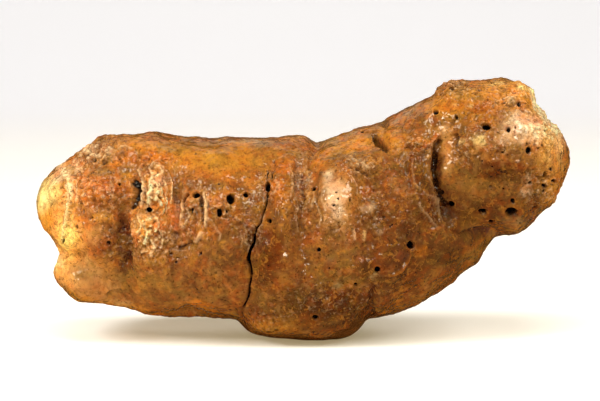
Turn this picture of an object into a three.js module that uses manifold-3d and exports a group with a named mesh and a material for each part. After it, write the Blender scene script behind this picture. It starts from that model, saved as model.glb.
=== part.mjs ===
// A coprolite: a large fossil dropping, one bent, lumpy piece of phosphate with a ball-shaped end.
// Millimetres, +Z up. The long way is X, with the raised ball at +X, and the side with the crack
// faces -Y. The piece stands on a small flat under its belly, and the origin is the middle of its
// bounding box at that flat.
import * as THREE from "three";
import { ImprovedNoise } from "three/addons/math/ImprovedNoise.js";
import { mergeVertices } from "three/addons/utils/BufferGeometryUtils.js";
import Module from "manifold-3d";

const FRONT = -1;
const BACK = 1;
const BOTH = 0;

const RINGS = 74; // cross-sections along the piece
const RING_POINTS = 50; // points round each cross-section
const SQUARENESS = 2.25; // exponent of each quarter of a section: 2 is an ellipse

const STONE_COLOUR = 0xa5662a;

// Cross-sections from the left tip to the right one. top and low are the section's highest and
// lowest points as [x, z]. front and back are how far it reaches towards -Y and +Y, and sway is
// how far its middle lies towards +Y.
const SECTIONS = [
  { top: [-106.9, 53.2], low: [-106.9, 53.2], front: 0, back: 0, sway: 3.5 },
  { top: [-104.7, 61.2], low: [-104.9, 42.4], front: 10, back: 9.5, sway: 3.5 },
  { top: [-100, 65.8], low: [-101.8, 30.4], front: 18, back: 17, sway: 3.2 },
  { top: [-95, 69.8], low: [-98.4, 21], front: 24, back: 23, sway: 2.8 },
  { top: [-87.6, 76], low: [-90.5, 15], front: 28, back: 27, sway: 2.4 },
  { top: [-79, 80.6], low: [-79.5, 12.8], front: 31, back: 30, sway: 2 },
  { top: [-67, 82], low: [-66, 11], front: 33, back: 32, sway: 1.2 },
  { top: [-55, 81.6], low: [-54, 8.4], front: 34, back: 33, sway: 0.6 },
  { top: [-41, 80.8], low: [-41, 8], front: 34, back: 34, sway: 0 },
  { top: [-28, 80], low: [-27.5, 6.4], front: 35, back: 34, sway: -0.4 },
  { top: [-22, 79.8], low: [-22.5, 1.6], front: 35, back: 34, sway: -0.6 },
  { top: [-13, 79.6], low: [-12, -0.8], front: 36, back: 35, sway: -0.8 },
  { top: [1, 80.4], low: [3, -1.6], front: 36, back: 35, sway: -0.8 },
  { top: [14, 80.6], low: [17, 0.2], front: 36, back: 35, sway: -0.4 },
  { top: [29, 84.2], low: [32, 8.2], front: 35, back: 34, sway: 0.4 },
  { top: [40.6, 90.6], low: [48, 13.8], front: 33, back: 32, sway: 1.2 },
  { top: [50.5, 96.8], low: [61, 22.4], front: 30, back: 30, sway: 2 },
  { top: [56.8, 101.4], low: [71, 32.8], front: 28, back: 28, sway: 2.6 },
  { top: [64.6, 102.6], low: [78.5, 40], front: 30, back: 29, sway: 3 },
  { top: [73, 103.2], low: [86, 42.4], front: 31, back: 29, sway: 3.2 },
  { top: [81, 103.6], low: [93, 47.6], front: 29, back: 28, sway: 3.2 },
  { top: [88, 101.2], low: [98.8, 53], front: 26, back: 25, sway: 3 },
  { top: [93.4, 95.4], low: [102.8, 59.6], front: 21, back: 20, sway: 2.8 },
  { top: [99.2, 88.6], low: [105.2, 66], front: 15, back: 14, sway: 2.6 },
  { top: [103.6, 81], low: [106.4, 71], front: 8, back: 8, sway: 2.5 },
  { top: [106.6, 76], low: [106.6, 76], front: 0, back: 0, sway: 2.5 },
];

// Gentle lumps and hollows. long runs along the direction that turn gives, in degrees from +X
// towards +Z, and wide across it. A height below zero is a hollow.
const LUMPS = [
  { side: FRONT, x: -60, z: 56, long: 24, wide: 6, turn: 82, height: 3.6 },
  { side: FRONT, x: -62, z: 77, long: 10, wide: 6, turn: 0, height: 2.4 },
  { side: FRONT, x: -88, z: 23, long: 13, wide: 9, turn: -15, height: 3 },
  { side: FRONT, x: -80, z: 64, long: 11, wide: 8, turn: 20, height: 2.2 },
  { side: FRONT, x: -79, z: 47, long: 6, wide: 4, turn: 10, height: 1.6 },
  { side: FRONT, x: -96, z: 62, long: 6, wide: 6, turn: 30, height: 1.6 },
  { side: FRONT, x: -87, z: 73, long: 5, wide: 3.5, turn: 30, height: -2.4 },
  { side: FRONT, x: -74, z: 19, long: 6, wide: 3, turn: -10, height: -2.2 },
  { side: FRONT, x: -37, z: 50, long: 18, wide: 9, turn: 85, height: 2.8 },
  { side: FRONT, x: -52, z: 30, long: 12, wide: 6, turn: 95, height: 1.8 },
  { side: FRONT, x: -46, z: 11, long: 8, wide: 3.5, turn: 8, height: -3 },
  { side: FRONT, x: -8, z: 50, long: 20, wide: 6, turn: 90, height: 2 },
  { side: FRONT, x: 13, z: 57, long: 17, wide: 8, turn: 76, height: 4 },
  { side: FRONT, x: 27, z: 74, long: 14, wide: 6, turn: 25, height: 2 },
  { side: FRONT, x: 40, z: 56, long: 15, wide: 7, turn: 72, height: 3 },
  { side: FRONT, x: 34, z: 30, long: 14, wide: 10, turn: 30, height: 2.6 },
  { side: FRONT, x: 31, z: 79, long: 5, wide: 2.6, turn: 118, height: -2.5 },
  { side: FRONT, x: 80, z: 78, long: 18, wide: 15, turn: 0, height: 3 },
  { side: FRONT, x: 62, z: 84, long: 9, wide: 6, turn: 60, height: 2 },
  { side: FRONT, x: 48, z: 88, long: 8, wide: 5, turn: 60, height: 2 },
  { side: FRONT, x: 2, z: 10, long: 26, wide: 9, turn: 0, height: 3 },
  { side: FRONT, x: -10, z: 30, long: 10, wide: 7, turn: 90, height: 1.6 },
  { side: BACK, x: -20, z: 52, long: 16, wide: 10, turn: 80, height: 3 },
  { side: BACK, x: 26, z: 46, long: 16, wide: 11, turn: 70, height: 3.4 },
  { side: BACK, x: -55, z: 54, long: 16, wide: 8, turn: 60, height: 3 },
  { side: BACK, x: -88, z: 60, long: 9, wide: 8, turn: 0, height: 1.8 },
  { side: BACK, x: -88, z: 25, long: 10, wide: 8, turn: 0, height: 2.4 },
  { side: BACK, x: 78, z: 80, long: 16, wide: 12, turn: 20, height: 3 },
  { side: BACK, x: 86, z: 60, long: 8, wide: 5, turn: 40, height: -2 },
  { side: BACK, x: -36, z: 22, long: 12, wide: 6, turn: 15, height: -2.2 },
  { side: BACK, x: 38, z: 82, long: 7, wide: 3, turn: 110, height: -3 },
];

// Folds where the squeezed masses meet, as soft furrows through the points [x, z]. One that is
// on BOTH sides passes right round the piece, over the top and under the belly.
const FURROWS = [
  { side: BOTH, width: 6.5, depth: 5.5, points: [[-112, 36], [-97, 34.5], [-93, 33]] },
  { side: FRONT, width: 4, depth: 3, points: [[-93, 33], [-84, 30], [-77, 31]] },
  {
    side: FRONT,
    width: 4,
    depth: 3.8,
    points: [[-67.5, 70], [-66.5, 58], [-70.5, 46], [-71.5, 36], [-68, 26]],
  },
  { side: FRONT, width: 3.8, depth: 2.8, points: [[-50, 70], [-50.5, 56], [-49.5, 44], [-46.5, 34]] },
  {
    side: FRONT,
    width: 4,
    depth: 2.6,
    points: [[-14, 68], [-13.5, 58], [-18, 46], [-21, 36], [-21, 24], [-24, 8]],
  },
  { side: BOTH, width: 3.4, depth: 1.2, points: [[6, 84], [4, 76]] },
  { side: FRONT, width: 3.8, depth: 2.8, points: [[3.5, 78], [0.5, 64], [-0.5, 52], [0.5, 42]] },
  { side: FRONT, width: 5, depth: 2.6, points: [[27, 64], [30, 52], [27, 42]] },
  { side: BOTH, width: 3.4, depth: 1.8, points: [[26.5, 2], [26.5, 9]] },
  { side: FRONT, width: 4, depth: 1.8, points: [[26.5, 9], [23, 18], [14, 22]] },
  { side: FRONT, width: 6, depth: 4.4, points: [[54, 80], [51.5, 72], [51.5, 62], [55, 54]] },
  { side: FRONT, width: 6, depth: 2.6, points: [[55, 54], [60, 49.5], [67, 46], [74, 43.5]] },
  { side: FRONT, width: 4, depth: -2.2, points: [[43, 73], [44, 62], [47, 55], [52, 47]] },
  { side: BACK, width: 4, depth: 4.6, points: [[49, 90], [46, 78], [50, 66], [57, 55], [66, 47]] },
  { side: BACK, width: 4.2, depth: 3.4, points: [[9, 80], [3, 66], [5, 48], [-2, 32], [2, 10]] },
  { side: BACK, width: 3.4, depth: 2.4, points: [[-36, 82], [-43, 68], [-39, 54], [-44, 44]] },
  { side: BACK, width: 5, depth: 3.6, points: [[-66, 82], [-74, 66], [-69, 50], [-58, 36], [-52, 12]] },
  { side: BACK, width: 3.6, depth: 2.4, points: [[36, 66], [28, 50], [34, 34], [44, 24]] },
  { side: BACK, width: 3.4, depth: 2, points: [[-30, 42], [-18, 38], [-6, 41]] },
];

// Narrow clefts cut into the surface along lines of [x, z] points. Each is widest in the middle.
const CLEFTS = [
  {
    name: "long crack",
    side: FRONT,
    width: 2.2,
    depth: 7,
    points: [[-14, 65], [-13.5, 59], [-16, 53], [-18, 46], [-21, 38], [-21.5, 31], [-21, 24], [-23, 14]],
  },
  {
    name: "crevice beside the ball",
    side: FRONT,
    width: 5,
    depth: 8,
    points: [[53, 82], [51, 74], [50.5, 65], [53, 57], [57, 50]],
  },
  {
    name: "slot under the shoulder",
    side: FRONT,
    width: 3.6,
    depth: 4,
    points: [[28, 81], [30.5, 77.5], [33.5, 74]],
  },
  {
    name: "hollow behind the frosted ridge",
    side: FRONT,
    width: 3.4,
    depth: 5,
    points: [[-66, 64], [-65, 57], [-66.5, 51], [-68.5, 46]],
  },
  {
    name: "crack on the far side",
    side: BACK,
    width: 1.8,
    depth: 5,
    points: [[-8, 60], [-10, 50], [-8, 40], [-11, 30], [-9, 22]],
  },
  {
    name: "crevice on the far side",
    side: BACK,
    width: 3.6,
    depth: 5,
    points: [[50, 78], [48, 68], [50, 58], [55, 50]],
  },
];

// Bored holes on each side, each as [x, z, width across].
const HOLES = [
  {
    side: FRONT,
    places: [
      [-61, 51, 2], [-42.5, 57, 2.6], [-28.5, 55, 3.8], [-22.5, 57, 2.1], [-33, 49.5, 2.4],
      [-13, 46.5, 1.8], [4.5, 59, 1.8], [43, 37, 2.8], [30, 27, 2.4], [5.5, 8.5, 2.4],
      [53.5, 90, 1.9], [73.5, 84, 2.7], [90.5, 74.5, 2.6], [97.5, 64.5, 2.2], [97.5, 60, 1.8],
      [91, 61.5, 1.9], [84.5, 54.5, 1.8], [83.5, 50.5, 4], [72.5, 50, 3], [75.5, 46.5, 1.9],
      [59.5, 53, 2.5], [-99.5, 54, 2.4], [-77.5, 37.5, 1.9], [-51, 41.5, 2],
    ],
  },
  {
    side: BACK,
    places: [
      [-92, 40, 1.9], [-80, 60, 2.2], [-64, 44, 1.8], [-48, 66, 2.4], [-30, 40, 2],
      [-24, 62, 2.8], [12, 58, 2], [20, 34, 2.6], [36, 60, 1.9], [62, 84, 2.4],
      [68, 54, 1.8], [74, 66, 2.8], [84, 88, 2], [90, 66, 2.2],
    ],
  },
];
const HOLE_DEPTH = 4;
const HOLE_SIDES = 6;
const HOLE_TAPER = 0.7; // the bottom's width as a share of the mouth's

// The surface swells and sinks a little all over: each layer is [lump size, height].
const SWELLS = [[19, 1.7], [9, 0.8]];
const QUIET = 0.35; // the share of a swell that is left along the top and the belly
const FADE = 12; // over this much of Y a feature of one side fades out, and the swells fade in
const CLEFT_BOTTOM = 0.35; // the width of a cleft's bottom as a share of its mouth's

const OUTSIDE = 2; // how far a cutter stands out of the surface that it cuts
const FAR = 500; // farther out than any point of the piece

const wasm = await Module();
wasm.setup();

// A closed geometry through rings of points, each ring with the same number of them. The first
// and the last ring close to the single points first and last.
function loft(rings, first, last) {
  const count = rings[0].length;
  const points = [first, ...rings.flat(), last];
  const end = points.length - 1;
  const at = (ring, i) => 1 + ring * count + (i % count);
  const faces = [];
  for (let i = 0; i < count; i++) {
    faces.push(0, at(0, i), at(0, i + 1));
    for (let ring = 0; ring + 1 < rings.length; ring++) {
      faces.push(at(ring, i), at(ring + 1, i), at(ring + 1, i + 1));
      faces.push(at(ring, i), at(ring + 1, i + 1), at(ring, i + 1));
    }
    faces.push(at(rings.length - 1, i + 1), at(rings.length - 1, i), end);
  }
  const geometry = new THREE.BufferGeometry().setFromPoints(points);
  geometry.setIndex(faces);
  geometry.computeVertexNormals();
  return geometry;
}

// A quarter-by-quarter superellipse: cosine or sine with its curve squared off.
function squared(value) {
  return Math.sign(value) * Math.abs(value) ** (2 / SQUARENESS);
}

// The bare body: smooth curves run from tip to tip along the top, the underside and both sides,
// and each ring passes through all four.
function bodyGeometry() {
  const rail = (point) => new THREE.CatmullRomCurve3(SECTIONS.map(point));
  const top = rail((s) => new THREE.Vector3(s.top[0], 0, s.top[1]));
  const low = rail((s) => new THREE.Vector3(s.low[0], 0, s.low[1]));
  const reach = rail((s) => new THREE.Vector3(s.sway, s.front, s.back));
  const rings = [];
  for (let ring = 1; ring < RINGS; ring++) {
    const share = ring / RINGS;
    const t = (top.getUtoTmapping(share) + low.getUtoTmapping(share)) / 2;
    const high = top.getPoint(t);
    const under = low.getPoint(t);
    const middle = high.clone().add(under).divideScalar(2);
    const up = high.clone().sub(middle);
    const sides = reach.getPoint(t);
    rings.push(
      Array.from({ length: RING_POINTS }, (_, i) => {
        const angle = (2 * Math.PI * i) / RING_POINTS;
        const across = Math.sin(angle) < 0 ? sides.y : sides.z;
        const point = middle.clone().addScaledVector(up, squared(Math.cos(angle)));
        point.y = sides.x + across * squared(Math.sin(angle));
        return point;
      }),
    );
  }
  const tip = (t) => top.getPoint(t).setY(reach.getPoint(t).x);
  return loft(rings, tip(0), tip(1));
}

// Where a line along Y first meets the body on one side, with the outward normal there.
function probe(geometry, x, z, side) {
  const ray = new THREE.Raycaster(
    new THREE.Vector3(x, side * FAR, z),
    new THREE.Vector3(0, -side, 0),
  );
  const [hit] = ray.intersectObject(new THREE.Mesh(geometry));
  if (!hit) throw new Error(`nothing at x ${x}, z ${z}`);
  return { point: hit.point, normal: hit.face.normal.clone() };
}

// The height that one lump adds at a point, 0 far from it.
function lumpAt(lump, centre, point) {
  const away = point.clone().sub(centre.point);
  const angle = THREE.MathUtils.degToRad(lump.turn);
  const along = new THREE.Vector3(Math.cos(angle), 0, Math.sin(angle))
    .projectOnPlane(centre.normal)
    .normalize();
  const u = away.dot(along);
  const across = away.lengthSq() - u * u;
  return lump.height * Math.exp(-((u / lump.long) ** 2 + across / lump.wide ** 2));
}

// How much of a feature on one side reaches a point: all of it on that side, none on the other.
function sideShare(side, y) {
  return side === BOTH ? 1 : THREE.MathUtils.smoothstep(side * y, -FADE / 2, FADE);
}

// The depth that one furrow takes away at a point, 0 far from it.
function furrowAt(furrow, point) {
  const flat = new THREE.Vector3(point.x, 0, point.z);
  const nearest = new THREE.Vector3();
  const places = furrow.points.map(([x, z]) => new THREE.Vector3(x, 0, z));
  let square = Infinity;
  for (let i = 0; i + 1 < places.length; i++) {
    new THREE.Line3(places[i], places[i + 1]).closestPointToPoint(flat, true, nearest);
    square = Math.min(square, nearest.distanceToSquared(flat));
  }
  return furrow.depth * sideShare(furrow.side, point.y) * Math.exp(-square / furrow.width ** 2);
}

// The body with its lumps, hollows, furrows and gentle swells: each point moves along its normal.
function withRelief(geometry) {
  const noise = new ImprovedNoise();
  const centres = LUMPS.map((lump) => probe(geometry, lump.x, lump.z, lump.side));
  const position = geometry.getAttribute("position");
  const normals = geometry.getAttribute("normal");
  const point = new THREE.Vector3();
  const normal = new THREE.Vector3();
  const moved = [];
  for (let i = 0; i < position.count; i++) {
    point.fromBufferAttribute(position, i);
    normal.fromBufferAttribute(normals, i);
    let height = 0;
    LUMPS.forEach((lump, n) => (height += lumpAt(lump, centres[n], point)));
    for (const furrow of FURROWS) height -= furrowAt(furrow, point);
    const swelling = THREE.MathUtils.lerp(QUIET, 1, Math.min(1, Math.abs(point.y) / FADE));
    for (const [size, swell] of SWELLS) {
      height += swell * swelling * noise.noise(point.x / size, point.y / size, point.z / size);
    }
    moved.push(point.clone().addScaledVector(normal, height));
  }
  const made = new THREE.BufferGeometry().setFromPoints(moved);
  made.setIndex(geometry.getIndex());
  made.computeVertexNormals();
  return made;
}

// A wedge along a cleft's line: open and wide above the surface, closing to an edge below it.
function cleftCutter(body, cleft) {
  const { side, width, depth } = cleft;
  const places = cleft.points.map(([x, z]) => probe(body, x, z, side));
  const normal = new THREE.Vector3();
  for (const place of places) normal.add(place.normal);
  normal.normalize();
  const rings = places.map(({ point }, i) => {
    const before = places[Math.max(i - 1, 0)].point;
    const after = places[Math.min(i + 1, places.length - 1)].point;
    const along = after.clone().sub(before).normalize();
    const across = normal.clone().cross(along).normalize();
    const share = (i + 0.5) / places.length;
    const swell = Math.sin(Math.PI * share) ** 0.6;
    const corner = (sideways, down) =>
      point
        .clone()
        .addScaledVector(across, (sideways * width * swell) / 2)
        .addScaledVector(normal, -down * swell);
    return [
      corner(-1, -OUTSIDE),
      corner(1, -OUTSIDE),
      corner(CLEFT_BOTTOM, depth),
      corner(-CLEFT_BOTTOM, depth),
    ];
  });
  const [first, last] = [places[0], places[places.length - 1]].map(({ point }) => point.clone());
  first.lerp(places[1].point, -0.25);
  last.lerp(places[places.length - 2].point, -0.25);
  return loft(rings, first, last);
}

// A tapering plug where a hole goes in, along the surface's normal.
function holeCutter(body, [x, z, width], side) {
  const { point, normal } = probe(body, x, z, side);
  const length = HOLE_DEPTH + OUTSIDE;
  const plug = new THREE.CylinderGeometry(width / 2, (width / 2) * HOLE_TAPER, length, HOLE_SIDES);
  plug.translate(0, OUTSIDE - length / 2, 0);
  plug.applyQuaternion(new THREE.Quaternion().setFromUnitVectors(new THREE.Vector3(0, 1, 0), normal));
  return plug.translate(point.x, point.y, point.z);
}

// A closed geometry as a solid that can be cut, and back again.
function solidOf(geometry) {
  const bare = geometry.clone();
  bare.deleteAttribute("normal");
  bare.deleteAttribute("uv");
  const merged = mergeVertices(bare, 1e-3);
  const mesh = new wasm.Mesh({
    numProp: 3,
    vertProperties: merged.getAttribute("position").array,
    triVerts: new Uint32Array(merged.getIndex().array),
  });
  return new wasm.Manifold(mesh);
}

function geometryOf(solid) {
  const { vertProperties, triVerts } = solid.getMesh();
  return new THREE.BufferGeometry()
    .setAttribute("position", new THREE.BufferAttribute(vertProperties, 3))
    .setIndex(new THREE.BufferAttribute(triVerts, 1));
}

// Everything below the table's plane is cut away, which leaves the flat that the piece stands on.
function belowTable() {
  return new THREE.BoxGeometry(FAR, FAR, FAR).translate(0, 0, -FAR / 2);
}

function coprolite() {
  const body = withRelief(bodyGeometry());
  const cutters = [
    belowTable(),
    ...CLEFTS.map((cleft) => cleftCutter(body, cleft)),
    ...HOLES.flatMap(({ side, places }) => places.map((hole) => holeCutter(body, hole, side))),
  ];
  const solid = cutters.reduce((left, cutter) => left.subtract(solidOf(cutter)), solidOf(body));
  const geometry = geometryOf(solid);
  geometry.computeBoundingBox();
  const middle = geometry.boundingBox.getCenter(new THREE.Vector3());
  geometry.translate(-middle.x, -middle.y, 0);
  const stone = new THREE.MeshStandardMaterial({
    color: STONE_COLOUR,
    roughness: 0.38,
    metalness: 0,
    flatShading: true,
  });
  const mesh = new THREE.Mesh(geometry, stone);
  mesh.name = "coprolite";
  return mesh;
}

const part = new THREE.Group();
part.add(coprolite());

export default part;
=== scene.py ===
"""The looks of the coprolite: a fine stone surface over the CAD solid, its colours, and a plain
studio. Metres, in the CAD frame: +X along the piece towards its ball, -Y towards the viewer.

The form is the CAD solid's, smoothed. Folds, ledges, wrinkles, holes and cracks then move its
points along their normals. Places on the near side are given as the viewer sees them, as u and v
on a picture 600 wide and 401 high, and places on the far side as u and v seen from behind."""

import functools
import math

import bpy
import numpy as np
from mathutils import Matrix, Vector
from mathutils.bvhtree import BVHTree


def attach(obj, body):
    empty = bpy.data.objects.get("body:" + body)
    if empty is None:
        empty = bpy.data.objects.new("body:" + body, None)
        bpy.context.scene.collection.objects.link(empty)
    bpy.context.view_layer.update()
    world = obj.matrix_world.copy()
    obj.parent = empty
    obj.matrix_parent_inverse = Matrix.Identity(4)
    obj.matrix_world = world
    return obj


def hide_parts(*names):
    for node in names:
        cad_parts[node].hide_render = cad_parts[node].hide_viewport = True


MM = 0.001
NODE = "coprolite"

# --- The view -------------------------------------------------------------------------------
PICTURE = (600.0, 401.0)
SENSOR = 36.0  # mm, the picture's width on the sensor
LENS = 120.0  # mm
ELEVATION = 6.5  # degrees above the horizon
AIM = Vector((-1.0, 0.0, 54.6))  # mm, what the middle of the picture shows
MM_PER_PIXEL = 0.4  # at AIM
DISTANCE = MM_PER_PIXEL * PICTURE[0] * LENS / SENSOR  # mm

# --- The mesh -------------------------------------------------------------------------------
COARSE = 1.6  # mm, voxel of the smoothed form
SMOOTHING = 6  # rounds of smoothing, which take the solid's facets out
SPLITS = 2  # times each coarse face is split in four
MOST_TRIANGLES = 194000
NEAR_CARE = 1.5e-6  # how much more the near side's faces are kept than the far side's
SPREAD = 0.6  # share that a point takes from its neighbours in a round of smoothing
GAP_LIMIT, GAP_ROUNDS = 2.0, 12  # mm back out to the solid at most, evened over so many rounds
FINE_ROUNDS, WIDE_ROUNDS = 6, 60  # rounds of smoothing that small and large relief stand out from
BELLY_TOP, BELLY_HALF = 10.0, 40.0  # mm, of the stretch that stays smooth around the flat spot

# --- The sides, by how much the surface faces the viewer, from -1 to 1 ------------------------
SIDE_EDGE = (-0.12, 0.25)  # where the relief of the near or the far side comes in
RIM_EDGE = (-0.8, -0.2)
FRONT_EDGE = (-0.5, -0.05)  # where the near side's colours take over from the far side's

# --- How far shapes and patches are pulled out of true, in pixels -----------------------------
PATCH_RAG, FAR_PATCH_RAG = 9.0, 26.0
NEAR_DRIFT, CRACK_DRIFT, LINE_DRIFT, FAR_DRIFT = 1.4, 1.0, 1.2, 3.0
WOBBLE_SIZE, DRIFT_SIZE, RAG_SIZE = 3.0, 5.0, 9.0  # mm, of the noises that do it


def direction(azimuth, elevation):
    """From the object towards a viewer. Azimuth 0 is the near side."""
    a, e = math.radians(azimuth), math.radians(elevation)
    return np.array((math.sin(a) * math.cos(e), -math.cos(a) * math.cos(e), math.sin(e)))


def seen(points, azimuth):
    """Where points in mm stand in the picture that a viewer at that azimuth sees, as (n, 2)."""
    back = direction(azimuth, ELEVATION)
    right = np.array((math.cos(math.radians(azimuth)), math.sin(math.radians(azimuth)), 0.0))
    up = np.cross(back, right)
    up *= np.sign(up[2])
    away = points - np.array(AIM)
    shrink = 1 / (1 - away @ back / DISTANCE) / MM_PER_PIXEL
    return np.stack(
        [PICTURE[0] / 2 + away @ right * shrink, PICTURE[1] / 2 - away @ up * shrink], axis=1
    )


def ease(low, high, x):
    """0 below low, 1 above high, smooth between."""
    t = np.clip((x - low) / (high - low), 0, 1)
    return t * t * (3 - 2 * t)


# --- Noise ----------------------------------------------------------------------------------
LATTICE = 32  # cells each way before the noise repeats


@functools.cache
def dice(seed, kind):
    """One random arrow, or one random place in the unit cube, for each cell of the lattice."""
    roll = np.random.default_rng(seed)
    if kind == "place":
        return roll.random((LATTICE**3, 3))
    arrows = roll.normal(size=(LATTICE**3, 3))
    return arrows / np.linalg.norm(arrows, axis=1)[:, None]


def pick(table, cell):
    x, y, z = (cell & (LATTICE - 1)).T
    return table[(x * LATTICE + y) * LATTICE + z]


def swell(points, size, seed=0):
    """Smooth noise from about -1 to 1, with lumps about size across."""
    p = points / size + 0.37 * seed
    cell = np.floor(p).astype(np.int32)
    f = p - cell
    w = f * f * f * (f * (f * 6 - 15) + 10)
    total = np.zeros(len(p))
    for corner in range(8):
        step = np.array([(corner >> i) & 1 for i in range(3)], np.int32)
        weight = np.prod(np.where(step, w, 1 - w), axis=1)
        arrows = pick(dice(seed, "arrow"), cell + step)
        total += weight * np.einsum("ij,ij->i", f - step, arrows)
    return total * 1.6


def rough(points, size, seed=0, octaves=3, fade=0.5):
    """Layers of swell, each half as large as the one before it."""
    total, share, shares = np.zeros(len(points)), 1.0, 0.0
    for octave in range(octaves):
        total += share * swell(points, size / 2**octave, seed + 7 * octave)
        shares += share
        share *= fade
    return total / shares


def creases(points, size, seed=0, octaves=2):
    """From 0 in the hollows to 1 on thin branching ridges."""
    total, share, shares = np.zeros(len(points)), 1.0, 0.0
    for octave in range(octaves):
        noise = swell(points, size / 2**octave, seed + 7 * octave)
        total += share * (1 - np.minimum(np.abs(1.4 * noise), 1)) ** 2
        shares += share
        share *= 0.5
    return total / shares


CREASE_MEAN = 0.4


def cobbles(points, size, seed=0):
    """Distances, in cells, to the nearest and the second nearest of scattered places."""
    p = points / size
    cell = np.floor(p).astype(np.int32)
    first, second = np.full(len(p), 9.0), np.full(len(p), 9.0)
    for n in range(27):
        at = cell + np.array((n % 3 - 1, n // 3 % 3 - 1, n // 9 - 1), np.int32)
        d = np.linalg.norm(p - at - pick(dice(seed, "place"), at), axis=1)
        second = np.minimum(second, np.maximum(first, d))
        first = np.minimum(first, d)
    return first, second


def plates(first, second, joint):
    """Flat plates between the places, from cobbles' distances, with sunk joints that wide."""
    return np.minimum(second - first, joint) / joint - 0.7


# --- Shapes on the picture --------------------------------------------------------------------
SPOT_REACH = 2.6  # radii, past which a spot is nothing
LINE_ENDS, LEDGE_ENDS, CRACK_ENDS = 0.14, 0.15, 0.12  # share of the length that thins out


def full(place):
    """A place with its turn, which is 0 where it gives none."""
    return (*place, 0)[:6]


def spot(uv, u, v, ru, rv, turn):
    """1 at (u, v), falling to nothing past the radii ru and rv. turn is anticlockwise degrees."""
    out = np.zeros(len(uv))
    reach = SPOT_REACH * max(ru, rv)
    near = np.flatnonzero((np.abs(uv[:, 0] - u) < reach) & (np.abs(uv[:, 1] - v) < reach))
    c, s = math.cos(math.radians(turn)), math.sin(math.radians(turn))
    x, y = uv[near, 0] - u, v - uv[near, 1]
    r = ((x * c + y * s) / ru) ** 2 + ((y * c - x * s) / rv) ** 2
    out[near] = np.exp(-r)
    return out


def nearest(uv, line, reach):
    """For points near a line of (u, v): which they are, how far they lie from it, signed with
    left of its direction as positive, and how far along it they are, from 0 to 1."""
    line = np.array(line, float)
    low, high = line.min(0) - reach, line.max(0) + reach
    near = np.flatnonzero(np.all((uv > low) & (uv < high), axis=1))
    p = uv[near]
    lengths = np.linalg.norm(np.diff(line, axis=0), axis=1)
    best, side, along = np.full(len(p), 1e9), np.ones(len(p)), np.zeros(len(p))
    for i, (a, b) in enumerate(zip(line[:-1], line[1:], strict=True)):
        d = b - a
        t = np.clip((p - a) @ d / (d @ d), 0, 1)
        away = p - (a + t[:, None] * d)
        r = np.linalg.norm(away, axis=1)
        closer = r < best
        turn = d[1] * away[:, 0] - d[0] * away[:, 1]
        best[closer] = r[closer]
        side[closer] = np.where(turn[closer] >= 0, 1, -1)
        along[closer] = ((lengths[:i].sum() + t * lengths[i]) / lengths.sum())[closer]
    return near, best, side, along


def tapered(along, ends):
    """0 at both ends of a line, 1 over the rest of it."""
    return ease(0, ends, along) * ease(0, ends, 1 - along)


def crest(uv, line, width):
    """1 on a line, falling off over width on both sides and thinning out towards its ends."""
    out = np.zeros(len(uv))
    near, r, _, along = nearest(uv, line, 3.2 * width)
    out[near] = np.exp(-((r / width) ** 2)) * tapered(along, LINE_ENDS)
    return out


def ledge(uv, line, sharp, reach):
    """A step along a line: 1 just left of its direction, 0 right of it, fading over reach."""
    out = np.zeros(len(uv))
    near, r, side, along = nearest(uv, line, 3 * reach)
    step = ease(-sharp, sharp, r * side)
    out[near] = step * np.exp(-((r / reach) ** 2)) * tapered(along, LEDGE_ENDS)
    return out


# --- Relief of the near side: u and v in the picture, heights in mm ---------------------------
# (u, v, radius along, radius across, height, and the turn where there is one)
NEAR_LUMPS = [
    (50, 197, 12, 20, 1.0), (52.5, 202.5, 4.5, 4, -1.5), (58, 270, 9, 8, 0.8),
    (98.4, 156.6, 5, 3.5, 1.5, 30), (90, 152, 6, 3.5, -1.2, 20), (103.5, 160, 4, 3, -2.0),
    (112, 163, 8, 4, -0.8, 10), (104, 218.8, 10, 6, 0.9), (132.5, 185.3, 5.5, 5.0, 1.6),
    (137.5, 191, 3.8, 9.5, -1.6, 8), (134.5, 206, 3.2, 6, -1.0, -25),
    (124.5, 242, 5.0, 24, -3.2, 6), (126, 262, 7, 6, -1.2), (155, 170, 9, 8, 0.9),
    (157, 194, 12, 24, 2.0, 4), (148, 236, 13, 18, 1.2), (176.5, 195, 4.5, 24, -1.9),
    (175.6, 233.7, 3.6, 3, -1.2), (192, 180, 14, 8, 0.6), (196, 213, 9, 18, -0.9),
    (214, 205, 6, 24, 0.6), (186, 247, 8, 4, -1.2, 10), (225, 205, 20, 16, 0.9),
    (225, 262, 22, 26, 1.0), (185, 134.5, 12, 4, -1.8), (188, 306, 12, 4, -1.6, 3),
    (281, 184, 12, 22, 1.3), (299, 182, 5.0, 32, -2.0, 3), (303, 135, 16, 8, 1.0),
    (320, 141, 6, 6, -1.2), (338, 196, 16, 30, 2.4, 8), (357, 165, 14, 8, 1.2, -10),
    (360, 205, 4.5, 26, -1.2, 4), (368.9, 209.2, 6, 6, 1.2), (378.4, 232.2, 6, 7, 1.2),
    (368, 128, 14, 7, 1.0, 10), (379.5, 142.5, 4.0, 12, 1.0, 38), (392, 136, 8, 14, 1.6, 35),
    (396, 185, 12, 22, 1.0, 10), (384, 124, 3, 10, -1.6, 40), (372, 300, 4, 20, -1.4, -12),
    (410, 240, 20, 20, 0.6), (446, 131, 8, 7, 1.2), (448, 155, 7, 20, 0.5, 5),
    (459, 155, 2.4, 16, -0.8, 6), (460.7, 142.3, 4, 4, 1.0), (456.5, 137, 2.5, 6, -1.2),
    (476, 144, 10, 9, 0.6), (514, 134, 22, 20, 1.8), (502, 180, 28, 12, -1.3, 4),
    (520, 98, 10, 10, 0.9), (550, 121, 6, 7, 0.9, 20), (541, 108, 4, 4, -0.6),
    (484, 233, 16, 4.5, -1.8, -6), (468, 224, 14, 8, -0.8), (446, 214, 6, 12, -1.8, 20),
    (300, 312, 44, 12, 0.8), (545, 178, 12, 16, -0.9),
]

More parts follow.
